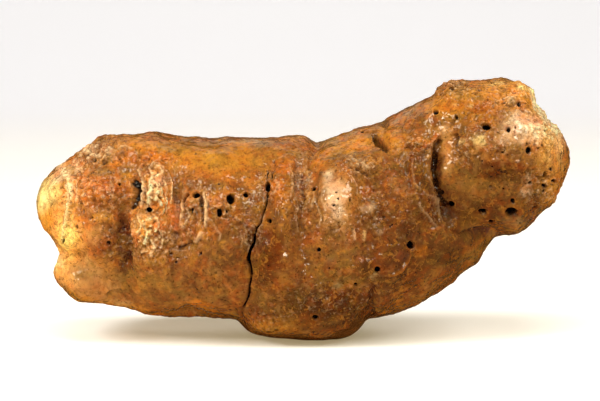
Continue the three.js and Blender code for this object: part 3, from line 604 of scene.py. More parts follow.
# Colours in the order in which they lie over each other, with (u, v, radius along, radius
# across, share, turn) of the places where each shows
PAINT = [
    ("olive", [
        (200, 150, 60, 10, 0.6), (338, 272, 30, 24, 0.8), (480, 186, 36, 24, 0.7),
        (540, 170, 26, 40, 0.6), (150, 285, 70, 20, 0.6, -8), (216, 276, 24, 26, 0.5),
        (330, 145, 18, 10, 0.6), (405, 150, 18, 14, 0.6), (288, 305, 40, 18, 0.6),
        (455, 180, 14, 26, 0.6), (445, 250, 50, 16, 0.5, 50), (500, 95, 40, 14, 0.6),
        (100, 302, 20, 6, 0.7), (462, 246, 28, 18, 0.9), (62, 270, 16, 16, 0.5),
    ]),
    # Umber along the underside and under the ball is partly painted shade
    ("umber", [
        (400, 266, 60, 34, 0.8, 30), (330, 300, 60, 26, 0.8), (500, 212, 44, 16, 0.8, -10),
        (455, 250, 44, 18, 0.7, 50), (140, 292, 70, 12, 0.5, -8), (232, 262, 30, 30, 0.5),
        (315, 326, 60, 10, 0.9), (378, 180, 30, 24, 0.5), (262, 262, 14, 40, 0.5),
        (500, 172, 34, 12, 0.6, -4), (430, 190, 22, 44, 0.6), (540, 212, 28, 14, 0.5, 20),
        (118, 240, 16, 30, 0.4), (458, 97, 7, 4, 0.7, 20), (196, 284, 6, 26, 0.5, 5),
        (486, 103, 5, 4, 0.6), (497, 110, 7, 4, 0.7, -20), (514, 92, 5, 4, 0.6),
        (470, 116, 6, 4, 0.6),
    ]),
    ("tan", [
        (86, 278, 34, 22, 1.0, -15), (90, 232, 26, 14, 0.6), (66, 215, 12, 40, 0.8),
        (446, 155, 8, 24, 0.9, 4), (446, 130, 9, 8, 0.9), (150, 215, 22, 50, 0.3),
        (120, 143, 34, 9, 0.5, 5), (338, 205, 20, 34, 0.9, 6), (358, 168, 20, 12, 0.6),
        (520, 130, 34, 30, 0.7, -15), (548, 110, 14, 26, 0.8, 25), (100, 158, 14, 9, 0.6, 20),
        (400, 190, 10, 20, 0.4), (555, 160, 12, 30, 0.5), (550, 186, 14, 18, 0.6),
        (64, 256, 14, 14, 0.7), (96, 300, 16, 8, 0.6),
    ]),
    ("honey", [
        (470, 96, 44, 14, 0.7), (552, 150, 14, 50, 0.6), (44, 215, 14, 26, 0.9),
        (215, 160, 60, 13, 1.0), (150, 147, 36, 9, 0.7), (348, 150, 28, 8, 0.9, 18),
        (393, 136, 11, 14, 0.9, 35), (470, 112, 44, 16, 0.9), (500, 94, 48, 18, 1.0),
        (440, 108, 18, 14, 0.8), (536, 104, 14, 14, 0.9), (48, 225, 8, 18, 0.8),
        (104, 218, 10, 6, 0.9), (145, 312, 50, 5, 0.8, -14), (80, 298, 24, 6, 0.8, -25),
        (275, 325, 34, 8, 0.7), (550, 175, 16, 34, 0.7), (232, 210, 22, 10, 0.5),
        (300, 260, 10, 12, 0.3), (470, 150, 10, 12, 0.5), (60, 190, 12, 18, 0.5),
        (68, 232, 16, 30, 0.8), (544, 120, 20, 30, 0.7), (131, 186, 6, 5, 0.8),
        (126, 178, 7, 3, 0.9, 20),
    ]),
    ("amber", [
        (282, 182, 12, 24, 0.8), (106, 190, 26, 18, 0.8), (158, 158, 14, 8, 0.9),
        (158, 196, 13, 26, 0.7, 4), (172, 195, 6, 34, 0.6), (235, 175, 34, 9, 0.6),
        (320, 160, 14, 7, 0.7, 30), (120, 162, 16, 6, 0.8, 10), (474, 106, 28, 9, 0.8),
        (208, 232, 14, 9, 0.6), (420, 142, 12, 6, 0.7), (192, 304, 20, 4, 0.6),
        (420, 254, 10, 4, 0.8, 10), (312, 322, 10, 6, 0.4),
    ]),
    ("orange", [
        (104, 186, 16, 11, 0.8), (283, 174, 9, 15, 0.5), (237, 291, 12, 11, 0.5),
        (178, 216, 8, 18, 0.6), (104, 246, 12, 12, 0.5), (436, 138, 8, 4, 0.5, 40),
        (430, 200, 10, 6, 0.6, -40), (370, 192, 12, 8, 0.5), (316, 240, 12, 8, 0.4),
        (268, 236, 8, 16, 0.6), (392, 226, 8, 5, 0.5), (156, 226, 12, 8, 0.5),
        (210, 208, 5, 14, 0.5), (250, 202, 10, 6, 0.4),
    ]),
    ("rust", [
        (500, 118, 8, 6, 0.7), (476, 112, 5, 3, 0.6), (246, 222, 20, 22, 0.5),
        (384, 190, 30, 24, 0.4), (270, 250, 16, 36, 0.8), (425, 205, 18, 26, 0.5),
        (228, 196, 20, 16, 0.4), (178, 218, 12, 24, 0.5), (122, 240, 12, 30, 0.8),
        (398, 206, 14, 24, 0.5, 10), (504, 164, 26, 5, 0.8, -4), (170, 262, 18, 9, 0.5),
        (424, 232, 12, 5, 0.4, 10), (386, 245, 22, 12, 0.3), (412, 172, 4, 22, 0.8),
        (326, 236, 14, 8, 0.4), (270, 176, 6, 14, 0.4), (100, 204, 20, 5, 0.5),
        (304, 180, 2.5, 18, 0.8), (90, 258, 16, 6, 0.4),
    ]),
    # Maroon in the collar's crevice and down the long groove on the left is painted shade
    ("maroon", [
        (124, 244, 8, 30, 1.0, 5), (122, 226, 4, 8, 0.8, 10), (385, 262, 24, 14, 0.5),
        (345, 298, 34, 11, 0.6), (177, 198, 4, 24, 0.5), (436, 172, 8, 32, 0.9, 8),
        (506, 176, 24, 6, 0.5), (440, 207, 10, 14, 0.6, 20), (371, 302, 6, 18, 0.7, -10),
        (411, 232, 5, 5, 0.9), (379, 143, 4, 10, 0.5, 38), (258, 312, 12, 8, 0.5),
        (516, 218, 26, 8, 0.4, -10), (92, 154, 10, 4, 0.5, 20), (134, 196, 7, 10, 0.6),
        (436, 214, 3, 10, 0.6, -30), (152, 268, 14, 7, 0.4), (281, 268, 10, 18, 0.3),
    ]),
    # Grey along the top edges is a painted reflection
    ("grey_and_sheen", [
        (250, 139, 90, 4, 0.9), (187, 137, 14, 4.5, 0.9), (370, 126, 22, 6, 0.9, 15),
        (406, 112, 24, 6, 0.9, 38), (300, 178, 5, 32, 0.6), (320, 142, 9, 6, 0.7),
        (95, 147, 14, 4, 0.5, 25), (330, 262, 8, 6, 0.4), (176, 206, 4, 30, 0.4),
        (430, 118, 6, 10, 0.5, 40), (176, 236, 6, 5, 0.5), (356, 255, 16, 8, 0.3),
        (90, 276, 26, 14, 0.3, -10),
    ]),
    # Mauve under the ball is painted shade, and left of the crack a painted weak sheen
    ("mauve", [
        (484, 233, 20, 4.5, 0.9, -6), (450, 214, 9, 8, 0.6), (530, 222, 26, 6, 0.6, 25),
        (250, 202, 12, 14, 0.5), (262, 242, 9, 18, 0.45), (281, 222, 8, 10, 0.35),
        (360, 262, 14, 12, 0.3), (400, 256, 14, 8, 0.4),
    ]),
    # Pale stone, and painted highlight on the pale bulge, the ball's upper right and the left tip
    ("cream", [
        (56, 180, 12, 6, 0.9, 30), (154, 184, 5, 14, 0.5, 4), (148, 238, 11, 12, 0.2),
        (336, 202, 9, 22, 0.8, 5), (331, 180, 6, 10, 0.7), (356, 163, 12, 4, 0.5, -10),
        (98, 156, 4.5, 3, 0.9), (518, 130, 18, 13, 0.9, -20), (552, 118, 6, 11, 0.9, 25),
        (529, 181, 3.6, 5, 0.9, -15), (525, 192, 4.5, 7, 0.9, -25), (538, 98, 7, 12, 0.8, 35),
        (88, 148, 9, 4, 0.8, 20), (76, 164, 5, 9, 0.7, 10), (108, 150, 8, 4, 0.6),
        (70, 186, 5, 12, 0.7), (67, 212, 5, 20, 0.4), (369, 209, 5, 5, 0.8), (378, 232, 4, 5, 0.5),
        (205, 208, 2.4, 18, 0.7), (182, 214, 3, 12, 0.5), (446, 130, 6, 6, 0.5),
        (512, 100, 8, 5, 0.6), (60, 262, 4, 8, 0.6, 30), (310, 180, 4, 10, 0.4),
    ]),
    # Painted highlights: the gloss on the ball's upper right, on the pale bulge and in the frosty
    # place
    ("rose", [
        (526, 128, 21, 15, 0.9, -20), (336, 202, 9, 22, 0.6, 5), (544, 108, 8, 14, 0.7, 30),
        (160, 182, 8, 12, 0.4), (331, 180, 6, 10, 0.5), (503, 140, 8, 6, 0.4),
    ]),
    # Painted highlights: rim light on the ball's right edge and the left tip, and streaks on the
    # pale bulge
    ("pale_highlight", [
        (557, 124, 8, 26, 0.7, 8), (64, 170, 7, 12, 0.6, 20), (541, 104, 6, 9, 0.8, -40),
        (531, 92, 5, 5, 0.7, -40), (331, 196, 3, 18, 0.5, 4), (339, 204, 3, 16, 0.6),
    ]),
    ("straw", [
        (550, 150, 12, 30, 0.3), (556, 104, 8, 10, 0.3), (62, 258, 12, 12, 0.35),
        (66, 234, 14, 22, 0.42), (62, 284, 12, 8, 0.15), (120, 302, 18, 6, 0.35),
        (514, 220, 18, 8, 0.3), (340, 190, 6, 14, 0.2), (64, 240, 7, 20, 0.3), (497, 82, 8, 3, 0.6),
        (520, 88, 6, 4, 0.6, -30), (532, 92, 5, 5, 0.5, -40), (541, 104, 5, 7, 0.4, -40),
        (470, 104, 4, 3, 0.6), (455, 104, 4, 3, 0.5), (45, 192, 13, 18, 1.0),
        (478, 143, 8, 7, 0.9, -10), (461, 142, 3.6, 4, 0.9), (545, 104, 6, 12, 0.3, 35),
        (40, 205, 5, 10, 0.8), (338, 288, 8, 5, 0.4), (376, 276, 5, 4, 0.5),
        (55, 268, 3, 8, 0.7, 20), (561, 150, 3, 18, 0.5),
    ]),
]

# Painted light and shade, lighter at both ends and darker along the bottom, under the ball and by
# the collar, mixed with darker and lighter stone: (u, v, radius along, radius across, how many
# times as light, turn)
PAINTED_LIGHT_AND_SHADE = [
    (48, 235, 22, 46, 1.3), (76, 195, 22, 36, 1.5), (154, 226, 30, 28, 1.65),
    (92, 154, 20, 12, 1.3, 20), (157, 192, 18, 30, 1.6), (150, 298, 80, 16, 1.25, -6),
    (192, 218, 22, 28, 1.1), (66, 258, 20, 26, 1.8), (268, 240, 20, 40, 0.5),
    (418, 182, 13, 40, 0.55, 10), (404, 232, 20, 26, 0.48), (466, 216, 40, 20, 0.52, -10),
    (500, 170, 34, 12, 0.55), (503, 122, 12, 12, 0.75), (556, 128, 13, 40, 1.4),
    (546, 180, 16, 22, 1.15), (106, 146, 12, 8, 0.75), (342, 158, 14, 8, 0.55),
    (362, 160, 10, 8, 0.7), (320, 198, 6, 12, 0.65), (300, 188, 6, 32, 1.3),
    (344, 240, 10, 12, 1.2), (330, 312, 70, 18, 0.53), (440, 250, 60, 26, 0.75, 30),
    (402, 165, 10, 14, 0.55), (421, 162, 8, 14, 0.65), (382, 204, 20, 24, 0.65),
    (520, 202, 24, 12, 0.62), (520, 92, 24, 12, 1.4, 20), (525, 128, 20, 16, 1.2),
    (336, 202, 12, 22, 0.94), (312, 262, 60, 24, 0.8), (480, 116, 14, 14, 0.75),
    (462, 118, 12, 12, 0.65), (225, 162, 56, 10, 0.85), (450, 208, 12, 18, 0.8),
    (125, 250, 9, 28, 0.5, 4), (480, 104, 30, 10, 0.85), (66, 220, 22, 50, 1.3),
    (138, 238, 10, 22, 1.35), (174, 226, 12, 20, 1.2), (338, 141, 12, 8, 1.3),
    (190, 262, 34, 14, 0.95), (255, 190, 20, 30, 0.9), (366, 264, 12, 14, 0.5),
    (250, 304, 20, 16, 0.75), (420, 243, 8, 8, 1.3), (140, 238, 10, 18, 1.2), (500, 86, 40, 8, 1.1),
    (542, 140, 12, 30, 1.7), (538, 100, 10, 10, 1.4), (108, 180, 16, 10, 0.87),
    (300, 228, 10, 14, 0.7), (89, 280, 22, 12, 0.82, -10), (262, 262, 12, 14, 0.55),
    (264, 284, 10, 12, 0.8), (160, 266, 14, 12, 1.25), (444, 258, 14, 10, 0.68),
    (394, 278, 22, 12, 0.68), (382, 226, 10, 16, 0.8), (80, 196, 14, 18, 1.2),
    (118, 168, 10, 14, 1.25), (115, 218, 6, 8, 1.4), (172, 208, 16, 22, 1.15),
    (350, 318, 24, 10, 0.65), (500, 178, 24, 9, 0.6), (330, 300, 50, 12, 0.75),
]

# (colour, points, width, share) of thin coloured lines; the cream ones along ridges and edges are
# painted highlights, and the dark ones in furrows and under a ridge are painted shade
PAINT_LINES = [
    *(("cream", line, 0.9, 0.40) for line in GLINT_RIDGES),
    ("cream", HOLLOW_RIM, 1.4, 0.6),
    ("cream", [(203.6, 190), (206, 200), (206.8, 214), (206.3, 230)], 1.1, 0.7),
    ("cream", [(412.5, 157), (413, 170), (415, 183), (422, 193)], 1.0, 0.4),
    ("cream", COLLAR_EDGE, 1.0, 0.4),
    ("cream", [(416, 202), (425, 213), (433, 223), (439, 228)], 1.0, 0.5),
    ("orange", [(444.5, 221), (443, 226), (438, 229), (428, 231), (420, 236)], 1.6, 0.7),
    ("cream", [(194, 243.7), (199, 238), (203.7, 232)], 1.3, 0.6),
    ("amber", [(411, 253), (407, 262), (401.4, 270.4), (394, 275), (386, 276)], 1.2, 0.6),
    ("amber", [(413, 250), (420, 250), (428, 246.5)], 1.2, 0.6),
    ("cream", [(64, 178), (72, 196), (65, 214), (64, 226), (62, 244)], 1.0, 0.35),
    ("orange", [(440.6, 133), (432, 140), (424, 147), (416, 152)], 2.2, 0.8),
    ("rust", [(412, 150), (411, 165), (413, 182)], 1.6, 0.7),
    ("cream", [(259, 184), (260, 191), (265, 195), (268, 194)], 0.9, 0.5),
    ("cream", [(272, 195), (277, 193), (280, 187), (276, 181)], 0.9, 0.6),
    ("cream", [(258, 228), (263, 221), (265, 213)], 1.2, 0.5),
    ("dark", [(118, 212), (120, 220), (122, 232)], 1.2, 0.5),
    ("dark", [(204.5, 192), (203.4, 203), (203.6, 216), (203, 226)], 1.0, 0.7),
    ("cream", THREAD, 1.2, 0.5),
    ("straw", [(364, 229), (363.5, 242)], 1.2, 0.5),
    ("dark", [(383, 121), (386, 136)], 1.2, 0.5),
    ("dark", [(105, 295.5), (112, 292), (119, 289)], 1.4, 0.55),
    ("tan", [(104, 291.5), (111, 287.5), (120, 285)], 1.2, 0.8),
    ("cream", [(422, 101), (412, 113), (407, 123)], 1.0, 0.4),
    ("dark", [(455.5, 133), (457.5, 139), (457, 147)], 1.3, 0.7),
]


def mixed(under, over, share):
    """The colours under, with that share of the colour over."""
    return under + (np.asarray(over) - under) * np.clip(share, 0, 1)[:, None]


def placed(name, data):
    """A new object of the scene."""
    obj = bpy.data.objects.new(name, data)
    bpy.context.scene.collection.objects.link(obj)
    return obj


def stand(obj, place, back):
    """Stands a lamp or the camera at place, with its back turned that way."""
    obj.location = place
    obj.rotation_mode = "QUATERNION"
    obj.rotation_quaternion = back.to_track_quat("Z", "Y")


def evaluated(obj):
    """obj's mesh with its modifiers applied, as a new mesh."""
    graph = bpy.context.evaluated_depsgraph_get()
    return bpy.data.meshes.new_from_object(obj.evaluated_get(graph))


def read(mesh, what, size=3):
    out = np.zeros(len(mesh.vertices) * size, np.float32)
    mesh.vertices.foreach_get(what, out)
    return out.reshape(-1, size).astype(float)


def edges_of(mesh):
    edges = np.zeros(len(mesh.edges) * 2, np.int32)
    mesh.edges.foreach_get("vertices", edges)
    return edges.reshape(-1, 2)


def spread(values, edges, rounds):
    """values, smoothed by that many rounds of averaging with the neighbours."""
    count = np.bincount(edges.ravel(), minlength=len(values))
    for _ in range(rounds):
        total = np.bincount(edges[:, 0], values[edges[:, 1]], len(values))
        total += np.bincount(edges[:, 1], values[edges[:, 0]], len(values))
        values = (1 - SPREAD) * values + SPREAD * total / np.maximum(count, 1)
    return values


def smooth_form(node):
    """The CAD solid's form without its facets, put back out to the solid's own size."""
    obj = placed("form", node.data.copy())
    solid = BVHTree.FromPolygons(
        [v.co for v in node.data.vertices], [p.vertices for p in node.data.polygons]
    )
    voxels = obj.modifiers.new("voxels", "REMESH")
    voxels.mode, voxels.voxel_size = "VOXEL", COARSE * MM
    relax = obj.modifiers.new("relax", "SMOOTH")
    relax.factor, relax.iterations = 0.5, SMOOTHING
    obj.data = evaluated(obj)
    obj.modifiers.clear()
    gap = np.zeros(len(obj.data.vertices))
    for i, vertex in enumerate(obj.data.vertices):
        place = solid.find_nearest(vertex.co)[0]
        gap[i] = (place - vertex.co).dot(vertex.normal)
    limit = GAP_LIMIT * MM
    gap = spread(np.clip(gap, -limit, limit), edges_of(obj.data), GAP_ROUNDS)
    moved = read(obj.data, "co") + read(obj.data, "normal") * gap[:, None]
    obj.data.vertices.foreach_set("co", moved.astype(np.float32).ravel())
    split = obj.modifiers.new("split", "SUBSURF")
    split.levels = split.render_levels = SPLITS
    obj.data = evaluated(obj)
    obj.modifiers.clear()
    return obj


class Skin:
    """The points of the surface before the relief, and what is known about each."""

    def __init__(self, mesh):
        self.base = read(mesh, "co") / MM
        self.normals = read(mesh, "normal")
        self.near_uv, self.far_uv = seen(self.base, 0), seen(self.base, 180)
        facing = self.normals @ direction(0, ELEVATION)
        self.near = ease(*SIDE_EDGE, facing)
        self.far = ease(*SIDE_EDGE, self.normals @ direction(180, ELEVATION))
        self.rim = ease(*RIM_EDGE, facing)
        self.front = ease(*FRONT_EDGE, facing)
        belly = ease(BELLY_TOP, 0.3 * BELLY_TOP, self.base[:, 2])
        self.belly = belly * (np.abs(self.base[:, 0]) < BELLY_HALF)
        self.wobble = swell(self.base, WOBBLE_SIZE, 5)
        self.drift = np.stack([swell(self.base, DRIFT_SIZE, seed) for seed in (21, 22)], axis=1)
        self.sway = self.drift @ np.array(((1.0, 0, 0.5), (0, 1.0, -0.5)))  # the drift, in space
        rags = [rough(self.base, RAG_SIZE, seed, 4, 0.7) for seed in (31, 37)]
        ragged = np.stack(rags, axis=1)
        self.near_ragged = self.near_uv + PATCH_RAG * ragged
        self.far_ragged = self.far_uv + FAR_PATCH_RAG * ragged

    def patches(self, places):
        """Share from 0 to 1 inside the listed places, which have ragged edges. The far side has
        the same places, seen from behind and shifted about."""
        share = np.zeros(len(self.base))
        for u, v, ru, rv, amount, turn in map(full, places):
            here = self.front * spot(self.near_ragged, u, v, ru, rv, turn)
            mirrored = spot(self.far_ragged, PICTURE[0] - u, v, ru, rv, -turn)
            there = (1 - self.front) * mirrored
            share = np.maximum(share, amount * np.maximum(here, there))
        return share


def texture_relief(skin, zone):
    """Height in mm of the small lumps, wrinkles and pores."""
    base = skin.base
    grit, wrinkle, pores, smooth = (zone[k] for k in ("grit", "wrinkle", "pores", "smooth"))
    calm = 1 - 0.7 * smooth
    warped = base + 0.7 * skin.sway
    upright = base * np.array((1.0, 1.0, 0.34)) + 0.6 * skin.sway
    first, second = cobbles(warped, 2.6, 3)
    wide_first, wide_second = cobbles(warped, 5.2, 13)
    layers = (  # (mm anywhere, mm more in the grit, heights)
        (0.10, 1.30, rough(warped, 4.4, 40, 2)),
        (0.14, 0.40, plates(wide_first, wide_second, 0.30)),
        (0.10, 1.10, 0.5 - first),
        (0.05, 0.40, plates(first, second, 0.35)),
        (0.22, 1.00, creases(warped, 3.8, 60, 2) - CREASE_MEAN),
        (0.10, 0.00, swell(base, 1.5, 90)),
    )
    height = 1.1 * rough(base, 10.0, 1, 2)
    for anywhere, more, heights in layers:
        height += (anywhere + more * grit) * calm * heights
    height += 1.2 * wrinkle * (creases(upright, 3.2, 81, 2) - CREASE_MEAN)
    return height - (0.10 + 0.80 * pores) * calm * np.exp(-((wide_first / 0.18) ** 2))


def paint(skin, zone, fine, wide, dark, rims):
    """The colour of each point, as linear red, green and blue."""
    base = skin.base
    colour = np.tile(COLOURS["brown"], (len(base), 1))
    for name, places in PAINT:
        share = skin.patches(places)
        colour = mixed(colour, COLOURS[name], ease(0.08, 0.85, share))
    warped = base + 1.4 * skin.sway
    blotch, mottle = rough(warped, 8.0, 50, 4, 0.8), rough(warped, 3.0, 55, 2, 0.8)
    streak = rough(warped, 5.5, 58, 3, 0.8)
    tint = 0.35 * rough(warped, 14.0, 70, 5, 0.8)
    colour = colour * np.stack([1 - 0.3 * tint, 1 + tint, 1 + 1.5 * tint], axis=1)
    calm = 1 - 0.5 * zone["smooth"]
    mottling = (  # (noise, where its colour starts and is full, share, colour)
        (blotch, 0.12, 0.20, 0.60, "umber"),
        (-blotch, 0.14, 0.22, 0.45, "honey"),
        (streak, 0.14, 0.22, 0.40, "orange"),
        (-streak, 0.15, 0.23, 0.60, "olive"),
        (mottle, 0.22, 0.34, 0.35, "dark"),
        (-mottle, 0.25, 0.36, 0.40, "tan"),
    )
    for noise, start, end, share, name in mottling:
        colour = mixed(colour, COLOURS[name], share * ease(start, end, noise) * calm)
    drifted = skin.near_uv + LINE_DRIFT * skin.drift
    for name, line, width, share in PAINT_LINES:
        colour = mixed(colour, COLOURS[name], share * skin.near * crest(drifted, line, width))
    proud = ease(0.10, 0.36, fine)
    glinting = np.clip(0.70 * zone["grit"] + 0.35 * zone["wrinkle"], 0, 1)
    # Painted highlights: honey, cream and pale highlight on the raised parts; amber on the holes'
    # rims
    raised = (
        ("amber", 0.55 * rims * ease(-0.4, 0.5, skin.wobble)),
        ("honey", 0.30 * proud),
        ("cream", 0.40 * ease(0.2, 1.1, wide) * zone["grit"]),
        ("pale_highlight", 0.70 * proud * glinting),
    )
    for name, share in raised:
        colour = mixed(colour, COLOURS[name], share)
    # Painted light and shade, with the stone's own lighter and darker places
    for u, v, ru, rv, tone, turn in map(full, PAINTED_LIGHT_AND_SHADE):
        share = skin.patches([(u, v, ru, rv, 1.0, turn)])
        colour = colour * (1 + (tone - 1) * share)[:, None]
    colour = np.minimum(colour, PALEST)
    # Painted shade: dark in the fine hollows, maroon in the wide ones, and near black in the holes
    # and cracks
    hollows = (
        ("dark", 0.75 * ease(0.06, 0.42, -fine)),
        ("maroon", 0.50 * ease(0.2, 1.3, -wide)),
        ("painted_hole_shade", dark),
    )
    for name, share in hollows:
        colour = mixed(colour, COLOURS[name], share)
    return colour


def stone_surface(node):
    """The stone as one fine mesh, with its colours and the shares that its material reads."""
    obj = smooth_form(node)
    mesh = obj.data
    skin = Skin(mesh)
    zone = {name: skin.patches(places) for name, places in TEXTURES.items()}
    near_forms = (NEAR_LUMPS, NEAR_LINES, NEAR_LEDGES)
    far_forms = (FAR_LUMPS, FAR_LINES, FAR_LEDGES)
    sides = (
        (skin.near, skin.near_uv, NEAR_DRIFT, near_forms, NEAR_PITS, CRACK_DRIFT, NEAR_CRACKS),
        (skin.far, skin.far_uv, FAR_DRIFT, far_forms, far_pits(), FAR_DRIFT, FAR_CRACKS),
    )
    height, depth, dark, rims = (np.zeros(len(skin.base)) for _ in range(4))
    for side, uv, drift, forms, pits, crack_drift, splits in sides:
        height += side * relief(uv + drift * skin.drift, *forms)
        hole, hole_dark, hole_rims = bores(uv, pits, skin.wobble)
        crack, crack_dark = cracks(uv + crack_drift * skin.drift, splits, skin.wobble)
        depth += side * (hole + crack)
        dark = np.maximum(dark, side * np.maximum(hole_dark, crack_dark))
        rims += side * hole_rims
    height += skin.rim * relief(skin.near_uv, RIM_LUMPS, [], [])
    height += texture_relief(skin, zone)
    height *= 1 - 0.75 * skin.belly
    depth *= 1 - skin.belly * (1 - skin.near)

    edges = edges_of(mesh)
    fine = height - spread(height, edges, FINE_ROUNDS)
    wide = height - spread(height, edges, WIDE_ROUNDS)
    colour = paint(skin, zone, fine, wide, dark, rims)

    moved = skin.base + skin.normals * (height - depth)[:, None]
    moved[:, 2] = np.maximum(moved[:, 2], 0)
    mesh.vertices.foreach_set("co", (moved * MM).astype(np.float32).ravel())
    mesh.update()
    store_colour(mesh, "paint", colour)
    # the painted shade of the holes and cracks
    store(mesh, "dark", dark)
    store(mesh, "grit", (0.12 + 0.88 * zone["grit"]) * (1 - 0.85 * zone["smooth"]))
    store(mesh, "wrinkle", zone["wrinkle"])
    store(mesh, "matt", zone["matt"])
    thin(obj, skin.near)
    return obj


def store(mesh, name, values):
    attribute = mesh.attributes.new(name, "FLOAT", "POINT")
    attribute.data.foreach_set("value", np.asarray(values, np.float32))


def store_colour(mesh, name, colours):
    layer = mesh.attributes.new(name, "FLOAT_COLOR", "POINT")
    with_alpha = np.concatenate([colours, np.ones((len(colours), 1))], axis=1)
    layer.data.foreach_set("color", with_alpha.astype(np.float32).ravel())


def thin(obj, near):
    """Fewer faces, mostly where the surface is flat and on the far side."""
    mesh = obj.data
    triangles = sum(len(p.vertices) - 2 for p in mesh.polygons)
    group = obj.vertex_groups.new(name="thinned")
    share = np.round(1 - 0.5 * near, 1)
    for value in np.unique(share):
        group.add(np.flatnonzero(share == value).tolist(), float(value), "REPLACE")
    fewer = obj.modifiers.new("fewer", "DECIMATE")
    fewer.ratio = MOST_TRIANGLES / triangles
    fewer.vertex_group = "thinned"
    fewer.vertex_group_factor = NEAR_CARE
    obj.data = evaluated(obj)
    obj.modifiers.clear()
    obj.vertex_groups.clear()


BUMP = 2.0  # mm of bump for a height of 1


class Nodes:
    """Short ways to make a material's nodes."""

    def __init__(self, tree):
        self.tree = tree

    def add(self, kind, **values):
        node = self.tree.nodes.new(kind)
        for name, value in values.items():
            setattr(node, name, value)
        return node

    def link(self, source, target):
        self.tree.links.new(source, target)

    def put(self, value, socket):
        if isinstance(value, (int, float, tuple)):
            socket.default_value = value
        else:
            self.link(value, socket)

    def fill(self, node, values):
        for name, value in values.items():
            self.put(value, node.inputs[name])
        return node

    def attribute(self, name, output="Fac"):
        return self.add("ShaderNodeAttribute", attribute_name=name).outputs[output]

    def noise(self, scale, detail=3.0, roughness=0.55, distortion=0.0, place=None):
        values = {"Scale": scale, "Detail": detail, "Roughness": roughness}
        values |= {"Distortion": distortion, "Vector": place or self.place}
        return self.fill(self.add("ShaderNodeTexNoise"), values).outputs["Fac"]

    def veins(self, scale):
        """0 along thin winding lines, more away from them."""
        centred = self.math("SUBTRACT", self.noise(scale, 3.0, 0.6, 1.0), 0.5)
        return self.math("ABSOLUTE", centred)

    def math(self, operation, a, b=0.0):
        node = self.add("ShaderNodeMath", operation=operation)
        self.put(a, node.inputs[0])
        self.put(b, node.inputs[1])
        return node.outputs[0]

    def times(self, a, b):
        return self.math("MULTIPLY", a, b)

    def span(self, value, low, high, to_low=0.0, to_high=1.0):
        """value's way from low to high, as a number from to_low to to_high."""
        ends = {"From Min": low, "From Max": high, "To Min": to_low, "To Max": to_high}
        node = self.add("ShaderNodeMapRange", clamp=True)
        return self.fill(node, {"Value": value, **ends}).outputs["Result"]

    def bump(self, height):
        values = {"Strength": 1.0, "Distance": BUMP * MM, "Height": height}
        return self.fill(self.add("ShaderNodeBump"), values).outputs["Normal"]

    def mix(self, share, a, b):
        node = self.add("ShaderNodeMix", data_type="RGBA")
        self.put(share, node.inputs[0])
        self.put(a, node.inputs[6])
        self.put(b, node.inputs[7])
        return node.outputs[2]


def stone_material():
    """The painted stone with finer specks and veins, under a lacquer that is matt in places."""
    material = bpy.data.materials.new("lacquered_fossil_stone")
    material.use_nodes = True
    tree = material.node_tree
    tree.nodes.clear()
    n = Nodes(tree)
    n.place = n.add("ShaderNodeTexCoord").outputs["Object"]
    solid = {name: colour + (1.0,) for name, colour in COLOURS.items()}

    grit, wrinkle = n.attribute("grit"), n.attribute("wrinkle")
    busy, gritty = n.span(grit, 0.02, 0.12, 0.35, 1.0), n.span(grit, 0.12, 0.9)
    specks = n.noise(420.0, 3.0, 0.7, 1.2)
    tints = n.noise(300.0, 4.0, 0.75, 1.5)
    grains = n.noise(900.0, 2.0, 0.6)
    crumbs = n.noise(620.0, 2.0, 0.6, 0.8)
    inks = (  # (where, noise, where its colour starts and is full, share, colour)
        (busy, specks, 0.54, 0.60, 0.46, "umber"),
        (busy, specks, 0.44, 0.38, 0.40, "honey"),
        (busy, tints, 0.55, 0.62, 0.35, "rust"),
        (busy, tints, 0.44, 0.38, 0.32, "olive"),
        (busy, n.veins(150.0), 0.014, 0.004, 0.12, "dark"),
        (busy, n.veins(230.0), 0.014, 0.004, 0.25, "maroon"),
        (busy, grains, 0.60, 0.66, 0.60, "dark"),
        (gritty, crumbs, 0.42, 0.36, 0.38, "cream"),
        (gritty, crumbs, 0.58, 0.64, 0.50, "umber"),
    )
    colour = n.attribute("paint", "Color")
    for where, noise, start, end, share, name in inks:
        amount = n.times(n.span(noise, start, end, 0.0, share), where)
        colour = n.mix(amount, colour, solid[name])
    # Painted shade: near black in the holes and cracks
    colour = n.mix(n.span(n.attribute("dark"), 0.25, 0.7), colour, solid["painted_hole_shade"])

    upright = n.add("ShaderNodeVectorMath", operation="MULTIPLY")
    n.put(n.place, upright.inputs[0])
    n.put((1.0, 1.0, 0.36), upright.inputs[1])
    ripples = n.times(n.noise(520.0, 0.5, 0.4), n.times(grit, 1.1))
    beads = n.times(n.noise(1100.0, 0.3, 0.4), n.span(grit, 0.0, 1.0, 0.0, 0.50))
    folds = n.times(n.noise(400.0, 0.5, 0.4, 0.3, upright.outputs[0]), wrinkle)
    lacquer = n.math("ADD", n.math("ADD", ripples, beads), folds)
    grain = n.times(n.noise(560.0, 4.0, 0.7), n.span(grit, 0.0, 1.0, 0.25, 0.60))

    looks = {
        "Base Color": colour,
        "Roughness": 0.5,
        "Normal": n.bump(n.math("ADD", lacquer, grain)),
        "IOR": 1.5,
        "Specular IOR Level": 0.0,
        "Coat Weight": n.span(n.attribute("matt"), 0.0, 1.0, 1.0, 0.12),
        "Coat Roughness": 0.08,
        "Coat IOR": 1.8,
        "Coat Normal": n.bump(lacquer),
    }
    shader = n.fill(n.add("ShaderNodeBsdfPrincipled"), looks)
    out = n.add("ShaderNodeOutputMaterial")
    n.link(shader.outputs["BSDF"], out.inputs["Surface"])
    return material


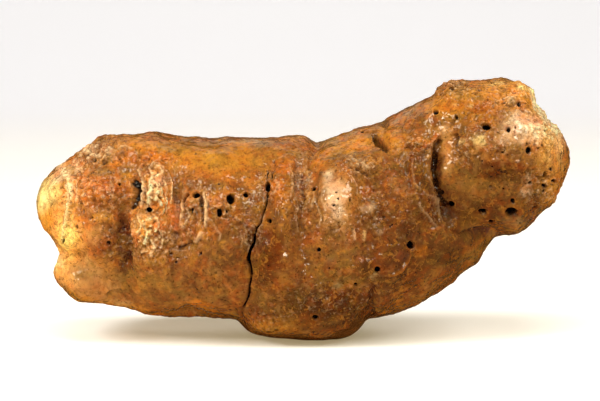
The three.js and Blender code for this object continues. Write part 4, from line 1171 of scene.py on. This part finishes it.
# --- The studio -------------------------------------------------------------------------------
PAPER = (0.775, 0.785, 0.83, 1.0)
FLOOR_GLOW, WALL_GLOW = (0.285, 0.23, 0.125), (0.50, 0.485, 0.485)
GLOW_RISE = (0.15, 1.6)  # metres behind the object, from the floor's glow to the wall's
FLOOR_ROWS = (-2.0, 0.15, 0.5, 0.85, 1.3)  # metres, of the floor's points
CURVE, CURVE_STEPS = 0.6, 12  # metres, radius between the floor and the wall
WALL_TOP, BACKDROP_HALF = 3.0, 3.0  # metres
SKY, SKY_LIGHT = (1.0, 0.99, 0.97, 1.0), 0.9
LAMPS_AIM = Vector((0.0, 0.0, 0.05))
WARM, GOLD = (1.0, 0.97, 0.88), (1.0, 0.90, 0.68)
# (name, azimuth, elevation, distance in metres, size, light, colour, seen in the gloss)
LAMPS = [
    ("top", 0, 76, 1.2, (0.8, 0.5), 2.1, WARM, False),
    ("left", -66, 38, 1.0, (0.4, 0.5), 2.9, WARM, False),
    ("right", 76, 40, 1.0, (0.4, 0.5), 1.9, WARM, False),
    ("window_left", -45, 35, 1.0, (0.25, 0.35), 0.6, GOLD, True),
    ("window_right", 48, 45, 1.0, (0.35, 0.35), 0.7, GOLD, True),
    ("low_left", -40, 12, 1.0, (0.30, 0.40), 0.35, GOLD, False),
    ("back", 180, 50, 1.1, (1.2, 0.5), 0.25, GOLD, True),
    ("spark_left", -20, 38, 1.0, (0.12, 0.12), 0.22, GOLD, True),
    ("spark_right", 18, 16, 1.0, (0.11, 0.11), 0.16, GOLD, True),
]


def paper():
    """Pale matt paper that glows by the glow colour of its points, warmly on the floor and more
    brightly on the wall.
    """
    material = bpy.data.materials.new("pale_paper")
    material.use_nodes = True
    n = Nodes(material.node_tree)
    looks = {
        "Base Color": PAPER,
        "Roughness": 0.9,
        "Specular IOR Level": 0.0,
        "Emission Strength": 1.0,
        "Emission Color": n.attribute("glow", "Color"),
    }
    n.fill(n.tree.nodes["Principled BSDF"], looks)
    return material


def backdrop():
    """A pale floor that curves up into a wall behind the object."""
    profile = [(y, 0.0) for y in FLOOR_ROWS]
    for i in range(1, CURVE_STEPS + 1):
        a = math.radians(90 * i / CURVE_STEPS)
        profile.append((FLOOR_ROWS[-1] + CURVE * math.sin(a), CURVE * (1 - math.cos(a))))
    profile.append((FLOOR_ROWS[-1] + CURVE, WALL_TOP))
    points = [(x, y, z) for y, z in profile for x in (-BACKDROP_HALF, BACKDROP_HALF)]
    faces = [(2 * i, 2 * i + 1, 2 * i + 3, 2 * i + 2) for i in range(len(profile) - 1)]
    mesh = bpy.data.meshes.new("backdrop")
    mesh.from_pydata(points, [], faces)
    for polygon in mesh.polygons:
        polygon.use_smooth = True
    rise = ease(*GLOW_RISE, np.array(points)[:, 1])[:, None]
    store_colour(mesh, "glow", FLOOR_GLOW + (np.array(WALL_GLOW) - FLOOR_GLOW) * rise)
    obj = placed("backdrop", mesh)
    obj.data.materials.append(paper())
    obj.visible_glossy = False


def softbox(name, azimuth, elevation, distance, size, light, colour, glint):
    """A lamp that lights a surface facing it at the object with light. glint is whether the
    object's gloss shows it."""
    lamp = bpy.data.lights.new(name, "AREA")
    lamp.shape = "RECTANGLE"
    lamp.size, lamp.size_y = size
    lamp.energy = light * math.pi * distance**2
    lamp.color = colour
    obj = placed(name, lamp)
    towards = Vector(direction(azimuth, elevation))
    stand(obj, LAMPS_AIM + towards * distance, towards)
    obj.visible_glossy = glint


def studio():
    """The lamps, and a sky that is neither light on the object nor seen in its gloss."""
    world = bpy.data.worlds.new("studio")
    bpy.context.scene.world = world
    world.use_nodes = True
    n = Nodes(world.node_tree)
    n.fill(n.tree.nodes["Background"], {"Color": SKY, "Strength": SKY_LIGHT})
    world.cycles_visibility.diffuse = world.cycles_visibility.glossy = False
    bpy.context.scene.view_settings.view_transform = "Standard"
    for lamp in LAMPS:
        softbox(*lamp)


def camera():
    data = bpy.data.cameras.new("camera")
    data.lens, data.sensor_width = LENS, SENSOR
    obj = placed("camera", data)
    back = Vector(direction(0, ELEVATION))
    stand(obj, (AIM + back * DISTANCE) * MM, back)
    bpy.context.scene.camera = obj


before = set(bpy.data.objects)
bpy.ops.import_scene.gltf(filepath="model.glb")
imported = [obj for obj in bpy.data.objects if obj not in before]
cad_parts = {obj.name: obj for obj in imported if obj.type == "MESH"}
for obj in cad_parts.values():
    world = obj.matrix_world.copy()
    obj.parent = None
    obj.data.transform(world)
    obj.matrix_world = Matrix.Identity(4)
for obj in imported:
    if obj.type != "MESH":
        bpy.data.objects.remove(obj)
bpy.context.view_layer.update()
camera()
studio()
backdrop()

stone = stone_surface(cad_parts[NODE])
stone.name = stone.data.name = "coprolite_stone"
stone.data.materials.clear()
stone.data.materials.append(stone_material())
stone.data.shade_smooth()
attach(stone, "root")
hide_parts(NODE)
